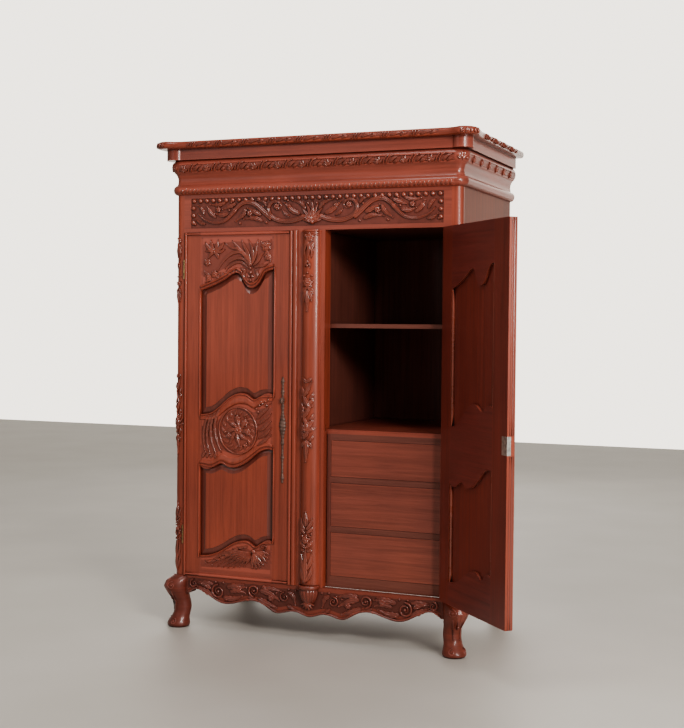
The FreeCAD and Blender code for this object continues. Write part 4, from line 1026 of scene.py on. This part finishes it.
def top_board():
    """A board with a rounded, cabled edge. It stands for the plain one of the CAD."""
    outline = [Vector(p) for p in top_outline()]
    middle = Vector((0, 0))
    low, high = top_low.z, top_high.z
    profile = [(12, 0), (5, 2), (1, 7), (0, 15), (1, 22), (5, 28), (10, 30)]
    work = Carving(lambda s, t, h: Vector((s, t, h)))
    rows = []
    count = len(outline)
    for inset, lift in profile:
        row = []
        for n, point in enumerate(outline):
            ahead = outline[min(n + 1, count - 1)] - outline[max(n - 1, 0)]
            inward = Vector((-ahead.y, ahead.x)).normalized()
            if (middle - point).dot(inward) < 0:
                inward = -inward
            shifted = point + inward * inset * MM
            row.append((shifted.x, min(shifted.y, top_high.y), low + lift * MM))
        rows.append(row)
    mesh = work.mesh
    grid = [[mesh.verts.new(p) for p in row] for row in rows]
    for near, far in zip(grid, grid[1:]):
        for n in range(count):
            m = (n + 1) % count
            mesh.faces.new((near[n], near[m], far[m], far[n]))
    mesh.faces.new(grid[0][::-1])
    mesh.faces.new(grid[-1])
    thing = work.finish("top_board_shaped", "carcass", top_wood, False, ("top_board",))
    for face in thing.data.polygons:
        face.use_smooth = len(face.vertices) == 4


def top_edge():
    """Ribbon and leaf along the front and both sides of the top board's edge."""
    low, high = top_low.z, top_high.z
    middle = (low + high) / 2
    bulge = torus_bulge(low, high, 9 * MM)
    front = sheet((0, FRONT - 49 * MM, 0), (1, 0, 0), (0, -1, 0), bulge)
    right = sheet((696 * MM, 0, 0), (0, 1, 0), (1, 0, 0), bulge)
    left = sheet((-696 * MM, 0, 0), (0, -1, 0), (-1, 0, 0), bulge)
    pitch = 126 * MM
    work = Carving(front)
    ground = Carving(front)
    runs = (
        (front, -567 * MM, 9),
        (right, -240 * MM, 4),
        (left, -(REAR - 96 * MM) - 10 * MM, 4),
    )
    for lay, start, count in runs:
        work.lay = ground.lay = lay
        ends = [(start, low + 3 * MM), (start + count * pitch, low + 3 * MM)]
        ground.cushion(ends, offset(ends, high - low - 6 * MM), *(end[0] for end in ends), 0.8 * MM, 4, (0, 1, 1, 1, 1, 1, 0))
        for n in range(count):
            s = start + n * pitch
            for k in range(3):
                x = s + (6 + 12 * k) * MM
                work.stem([(x, low + 4 * MM), (x + 8 * MM, middle), (x + 16 * MM, high - 4 * MM)], 6 * MM, 6.5 * MM, 0.8)
            work.leaf((s + 50 * MM, middle - 8 * MM), (s + 104 * MM, middle + 6 * MM), 15 * MM, 3 * MM, 8 * MM)
            work.leaf((s + 92 * MM, low + 6 * MM), (s + 122 * MM, middle + 2 * MM), 10 * MM, 2 * MM, 7 * MM)
            work.leaf((s + 96 * MM, high - 6 * MM), (s + 122 * MM, middle), 9 * MM, -2 * MM, 7 * MM)
    for side in (-1, 1):
        centre_x, centre_y = side * (top_high.x - 60 * MM), top_low.y + 60 * MM
        facing = -math.pi / 4 if side > 0 else -3 * math.pi / 4
        work.lay = round_sheet(centre_x, centre_y, 60 * MM, facing)
        for n in range(5):
            s = (n - 2) * 19 * MM
            work.leaf((s, low + 5 * MM), (s + 4 * MM, high - 4 * MM), 14 * MM, 2 * MM, 6 * MM)
    ground.finish("top_edge_ground", "carcass", shaded_ground_wood, False)
    work.finish("top_edge_carving", "carcass")


# ------------------------------------------------------------------- posts, pilaster


def upright_carving(work, width):
    """Flowers and leaves above, feathers with a shell between, overlapping leaves below."""

    def spot(share, t):
        return (share * width / 2, t * MM)

    def leaf(base, tip, share, bend=0.0, rise=8):
        work.blade([spot(*base), spot((base[0] + tip[0]) / 2 + bend, (base[1] + tip[1]) / 2), spot(*tip)],
                   width * share, rise * MM, 4, 0.3)

    # upper run
    work.flower(spot(0.25, 1686), width * 0.36, 6, 0.4, 9 * MM)
    for base, tip, share, bend in (
        ((0.0, 1682), (-0.9, 1650), 0.3, 0.2), ((0.1, 1672), (-0.6, 1612), 0.3, -0.3),
        ((0.2, 1668), (0.5, 1602), 0.32, 0.25), ((0.1, 1668), (0.0, 1596), 0.26, 0.1),
        ((0.4, 1672), (0.95, 1640), 0.26, 0.1), ((-0.1, 1692), (-0.8, 1700), 0.24, 0.0),
        ((0.0, 1594), (-0.5, 1566), 0.2, 0.0), ((0.0, 1592), (0.4, 1560), 0.2, 0.1),
    ):
        leaf(base, tip, share, bend)
    work.bead(spot(-0.1, 1572), width * 0.11, 7 * MM)
    work.flower(spot(0.05, 1500), width * 0.4, 7, 0.2, 10 * MM)
    for s, t in ((-0.6, 1530), (0.6, 1530), (-0.75, 1506), (0.75, 1510), (0.0, 1542)):
        work.bead(spot(s, t), width * 0.1, 7 * MM)
    for base, tip, share, bend in (
        ((0.0, 1482), (-0.85, 1452), 0.34, -0.2), ((0.0, 1482), (0.85, 1452), 0.34, 0.2),
        ((-0.2, 1470), (-0.6, 1420), 0.28, -0.1), ((0.2, 1470), (0.6, 1420), 0.28, 0.1),
    ):
        leaf(base, tip, share, bend)
    work.acanthus([spot(0, 1470), spot(0, 1430), spot(0, 1384)], width * 0.42, 9 * MM, 3)
    # middle run
    for n in range(5):
        t, hand = 850 + 44 * n, 1 - 2 * (n % 2)
        work.acanthus([spot(-0.5 * hand, t), spot(0.1 * hand, t + 28), spot(0.75 * hand, t + 66)], width * 0.42, 9 * MM, 4)
        leaf((-0.3 * hand, t + 14), (-0.95 * hand, t + 44), 0.34, -0.1 * hand, 9)
        leaf((0.45 * hand, t - 8), (0.95 * hand, t + 22), 0.26, 0.1 * hand)
        work.bead(spot(-0.75 * hand, t + 6), width * 0.1, 8 * MM)
    work.fan(spot(0, 884), 46 * MM, width * 0.3, 160, 20, 5, 11 * MM)
    for hand in (-1, 1):
        leaf((0.0, 1088), (0.7 * hand, 1108), 0.28, 0.1 * hand)
        leaf((0.0, 842), (0.8 * hand, 812), 0.32, 0.2 * hand)
    work.acanthus([spot(0, 848), spot(0, 806), spot(0, 758)], width * 0.5, 9 * MM, 4)
    # lower run
    work.acanthus([spot(0, 486), spot(0.05, 514), spot(0, 548)], width * 0.5, 9 * MM, 3)
    for hand in (-1, 1):
        for base, tip, share in (
            ((0.1, 470), (0.9, 524), 0.34), ((0.1, 458), (0.95, 488), 0.3), ((0.1, 398), (0.9, 432), 0.34),
            ((0.15, 384), (0.95, 392), 0.26), ((0.1, 252), (0.9, 330), 0.36), ((0.15, 300), (0.85, 378), 0.34),
        ):
            leaf((base[0] * hand, base[1]), (tip[0] * hand, tip[1]), share, 0.2 * hand, 8)
        for s, t in ((0.55, 446), (0.8, 456), (0.75, 412)):
            work.bead(spot(s * hand, t), width * 0.1, 8 * MM)
    work.flower(spot(0, 430), width * 0.36, 6, 0.3, 10 * MM)
    work.acanthus([spot(0, 250), spot(-0.1, 320), spot(0.05, 398)], width * 0.56, 10 * MM, 5)


def pilaster():
    wide, rise = shaft_high.x - shaft_low.x, shaft_high.y - shaft_low.y
    radius = ((wide / 2) ** 2 + rise**2) / (2 * rise)
    lay = round_sheet(0, FRONT + radius - rise, radius, -math.pi / 2)
    work = Carving(lay)
    flat = lay
    work.lay = lambda s, t, h: flat(s - 6 * MM, t, h)
    upright_carving(work, 62 * MM)
    work.finish("pilaster_carving", "carcass")
    # capital with small blocks
    work = Carving(lay)
    for t, tall, out in ((1714, 7, 5), (1705, 4, 3)):
        ends = (-wide / 2, wide / 2)
        work.stem([(ends[0], t * MM), (0, t * MM), (ends[1], t * MM)], tall * MM, out * MM, 1.0)
    for n in range(7):
        work.bead(((n - 3) * 12 * MM, 1698 * MM), 4.5 * MM, 5 * MM)
    work.finish("pilaster_bands", "carcass", upright_wood)


def drop():
    """The gadrooned bowl under the pilaster, with a shell for its tip."""
    top, bottom = drop_high.z, drop_low.z
    work = Carving(lambda s, t, h: Vector((h * math.cos(s), FRONT - h * math.sin(s), t)))
    profile = [
        (0, 40), (2, 45), (6, 47.5), (12, 47.5), (17, 45), (20, 38), (22, 40), (32, 41.5), (44, 39.5),
        (56, 35), (68, 28.5), (80, 20), (90, 12), (96, 5),
    ]
    rows = []
    count = 96
    for n in range(count + 1):
        angle = math.pi * n / count
        row = []
        for depth, radius in profile:
            lobe = 1 + (0.07 * abs(math.sin(8 * angle)) - 0.05 if depth > 20 else 0)
            row.append((angle, top - depth * MM, radius * MM * lobe))
        rows.append(row)
    work.patch(rows)
    work.finish("pilaster_drop_bowl", "carcass", shaded_drop_wood, True, ("pilaster_drop",))
    work = Carving(sheet((0, FRONT - 14 * MM, 0), (1, 0, 0), (0, -1, 0)))
    work.fan((0, bottom + 24 * MM), 34 * MM, 11 * MM, 200, 340, 6, 9 * MM)
    work.finish("pilaster_drop_shell", "carcass")


def posts():
    radius = 27 * MM
    for side, name in ((-1, "left"), (1, "right")):
        facing = -math.pi / 2 + side * math.radians(22)
        work = Carving(round_sheet(side * (SIDE - radius), FRONT + radius, radius, facing))
        upright_carving(work, 30 * MM)
        work.finish("post_carving_" + name, "carcass")


# ------------------------------------------------------------------- apron and legs


def apron():
    """C-scrolls, leaves and flowers over the whole apron, and a smooth bead along its wave."""
    work = Carving(sheet((0, FRONT, 0), (1, 0, 0), (0, -1, 0)))
    wave = smooth(metres(mirrored(APRON_WAVE)))
    reach = SIDE - 70 * MM
    level = [(-reach, apron_high.z - 2 * MM), (reach, apron_high.z - 2 * MM)]
    work.cushion(offset(wave, 10 * MM), level, -reach, reach, 0.8 * MM, 150, (0, 1, 1, 1, 0))
    work.finish("apron_ground", "carcass", shaded_low_ground, False)
    work = Carving(sheet((0, FRONT, 0), (1, 0, 0), (0, -1, 0)))
    work.cushion(offset(wave, 1 * MM), offset(wave, 12 * MM), -reach, reach, 7 * MM, 150)
    for hand in (-1, 1):

        def path(points, hand=hand):
            return [(hand * s * MM, t * MM) for s, t in points]

        for s, t, radius, start, turns, width in (
            (428, 172, 32, 1, 1.5, 12), (256, 190, 27, -1, 1.4, 11), (548, 197, 20, 1, 1.2, 9), (112, 176, 22, 1, 1.3, 9),
        ):
            work.scroll((hand * s * MM, t * MM), radius * MM, start * math.pi / 2, turns, -hand * start, width * MM, 10 * MM)
        for points, width in (
            (((404, 150), (360, 146), (312, 162)), 30),
            (((388, 194), (344, 202), (292, 200)), 32),
            (((372, 176), (338, 184), (296, 176)), 26),
            (((450, 150), (492, 170), (528, 186)), 30),
            (((452, 200), (486, 207), (524, 207)), 22),
            (((462, 180), (496, 196), (530, 202)), 22),
            (((238, 160), (196, 142), (150, 128)), 32),
            (((228, 196), (186, 186), (136, 160)), 34),
            (((222, 206), (176, 206), (128, 198)), 26),
            (((96, 200), (72, 184), (62, 148)), 26),
            (((98, 144), (80, 132), (60, 128)), 18),
            (((282, 164), (264, 156), (240, 150)), 20),
            (((556, 178), (548, 186), (534, 190)), 16),
            (((300, 210), (330, 211), (366, 210)), 12),
        ):
            work.acanthus(path(points), width * MM, 9 * MM, 4)
        for s, t, radius in ((328, 194, 18), (176, 166, 17), (478, 190, 14), (208, 208, 12)):
            work.flower((hand * s * MM, t * MM), radius * MM, 6, s, 10 * MM)
        for s, t in ((404, 212), (150, 190), (286, 148), (510, 200), (92, 211), (60, 208), (388, 140), (440, 212)):
            work.bead((hand * s * MM, t * MM), 6 * MM, 8 * MM)
    work.finish("apron_carving", "carcass", shaded_low_carved)


def leg_radius(height):
    for (z0, shift0, radius0), (z1, shift1, radius1) in zip(LEG_SECTIONS, LEG_SECTIONS[1:]):
        if z0 * MM <= height <= z1 * MM:
            share = (height / MM - z0) / (z1 - z0)
            return (shift0 + (shift1 - shift0) * share) * MM, (radius0 + (radius1 - radius0) * share) * MM
    return LEG_SECTIONS[-1][1] * MM, LEG_SECTIONS[-1][2] * MM


def legs():
    """A leaf and swirls on each knee, and a rolled toe."""
    block = 35 * MM
    for side, name in ((-1, "left"), (1, "right")):
        centre = Vector((side * (SIDE - block), FRONT + block))
        facing = -math.pi / 4 if side > 0 else -3 * math.pi / 4

        def lay(s, t, h, centre=centre, facing=facing, side=side):
            shift, radius = leg_radius(t)
            angle = facing + s / 0.045
            reach = radius + h
            x = centre.x + side * shift + reach * math.cos(angle)
            y = centre.y - shift + reach * math.sin(angle)
            return Vector((x, y, t))

        work = Carving(lay)
        work.acanthus([(0, 216 * MM), (0, 176 * MM), (0, 122 * MM)], 46 * MM, 7 * MM, 5)
        for hand in (-1, 1):
            work.scroll((hand * 34 * MM, 186 * MM), 17 * MM, math.pi / 2, 1.3, hand, 6 * MM, 4 * MM)
            work.stem([(hand * 30 * MM, 160 * MM), (hand * 22 * MM, 120 * MM), (hand * 18 * MM, 70 * MM)], 6 * MM, 3 * MM)
            work.scroll((hand * 30 * MM, 26 * MM), 14 * MM, math.pi / 2, 1.2, -hand, 6 * MM, 4 * MM)
        work.finish("leg_carving_" + name, "carcass", shaded_low_carved)


# ------------------------------------------------------------------- stage


def floor():
    data = bpy.data.meshes.new("floor")
    reach = 9.0
    data.from_pydata(
        [(-reach, -reach, 0), (reach, -reach, 0), (reach, reach, 0), (-reach, reach, 0)], [], [(0, 1, 2, 3)]
    )
    made = Nodes("pale_floor")
    place = made.add("TexCoord").outputs["Object"]
    tone = made.noise(place, 1.4, 2.0)
    made.link(made.ramp(tone, [(0.3, (0.47, 0.44, 0.4)), (0.7, (0.52, 0.49, 0.45))]), made.shader.inputs["Base Color"])
    made.shader.inputs["Roughness"].default_value = 0.55
    data.materials.append(made.material)
    thing = bpy.data.objects.new("floor", data)
    bpy.context.scene.collection.objects.link(thing)


BEHIND = (-0.3, 0.954, 0.0)
DIM_ROOM, BRIGHT_WALL = 0.3, 2.3


def area_light(name, place, target, size, power, colour=(1, 1, 1)):
    data = bpy.data.lights.new(name, "AREA")
    data.shape = "DISK"
    data.size = size
    data.energy = power
    data.color = colour
    thing = bpy.data.objects.new(name, data)
    thing.location = place
    thing.rotation_euler = (Vector(target) - Vector(place)).to_track_quat("-Z", "Y").to_euler()
    bpy.context.scene.collection.objects.link(thing)


def lights():
    """A pale studio: a bright wall behind, a dim room in front, and a soft key from the right front."""
    world = bpy.data.worlds.new("studio")
    world.use_nodes = True
    tree = world.node_tree
    background = tree.nodes["Background"]
    place = tree.nodes.new("ShaderNodeTexCoord")
    towards = tree.nodes.new("ShaderNodeVectorMath")
    towards.operation = "DOT_PRODUCT"
    towards.inputs[1].default_value = BEHIND
    spread = tree.nodes.new("ShaderNodeMapRange")
    spread.interpolation_type = "SMOOTHSTEP"
    for key, number in (("From Min", 0.76), ("From Max", 0.88), ("To Min", DIM_ROOM), ("To Max", BRIGHT_WALL)):
        spread.inputs[key].default_value = number
    tree.links.new(place.outputs["Generated"], towards.inputs[0])
    tree.links.new(towards.outputs["Value"], spread.inputs["Value"])
    tree.links.new(spread.outputs["Result"], background.inputs["Strength"])
    background.inputs["Color"].default_value = (0.95, 0.89, 0.8, 1)
    bpy.context.scene.world = world
    bpy.context.scene.view_settings.look = "AgX - Medium High Contrast"
    middle = (0, 0, 1.2)
    area_light("key", (4.1, -4.3, 3.4), middle, 1.5, 230, (1.0, 0.97, 0.93))
    area_light("window", (4.0, -2.6, 1.7), middle, 0.9, 55, (1.0, 0.98, 0.96))
    area_light("fill", (-2.6, -4.8, 2.2), middle, 2.6, 10, (0.97, 0.98, 1.0))
    area_light("top", (0, -2.0, 4.4), middle, 1.6, 34)
    area_light("rear", (-1.5, 5.0, 3.2), middle, 3.0, 60)


def camera():
    """The camera as fitted to the photograph: its place, yaw, downward pitch and roll."""
    yaw, pitch, roll = (math.radians(angle) for angle in (22.62, 1.77, 0.51))
    focal_pixels, image_height = 1272.0, 728
    back = Vector((math.sin(yaw) * math.cos(pitch), -math.cos(yaw) * math.cos(pitch), math.sin(pitch)))
    right = Vector((math.cos(yaw), math.sin(yaw), 0))
    up = back.cross(right)
    turned_right = math.cos(roll) * right + math.sin(roll) * up
    turned_up = -math.sin(roll) * right + math.cos(roll) * up
    axes = Matrix((turned_right, turned_up, back)).transposed()
    data = bpy.data.cameras.new("camera")
    data.sensor_width = 36
    data.lens = focal_pixels / image_height * data.sensor_width
    thing = bpy.data.objects.new("camera", data)
    thing.matrix_world = Matrix.Translation((2.157, -5.201, 1.328)) @ axes.to_4x4()
    bpy.context.scene.collection.objects.link(thing)
    bpy.context.scene.camera = thing


for side in (-1, 1):
    door(side)
frieze()
crown()
top_board()
top_edge()
pilaster()
drop()
posts()
apron()
legs()
floor()
lights()
camera()
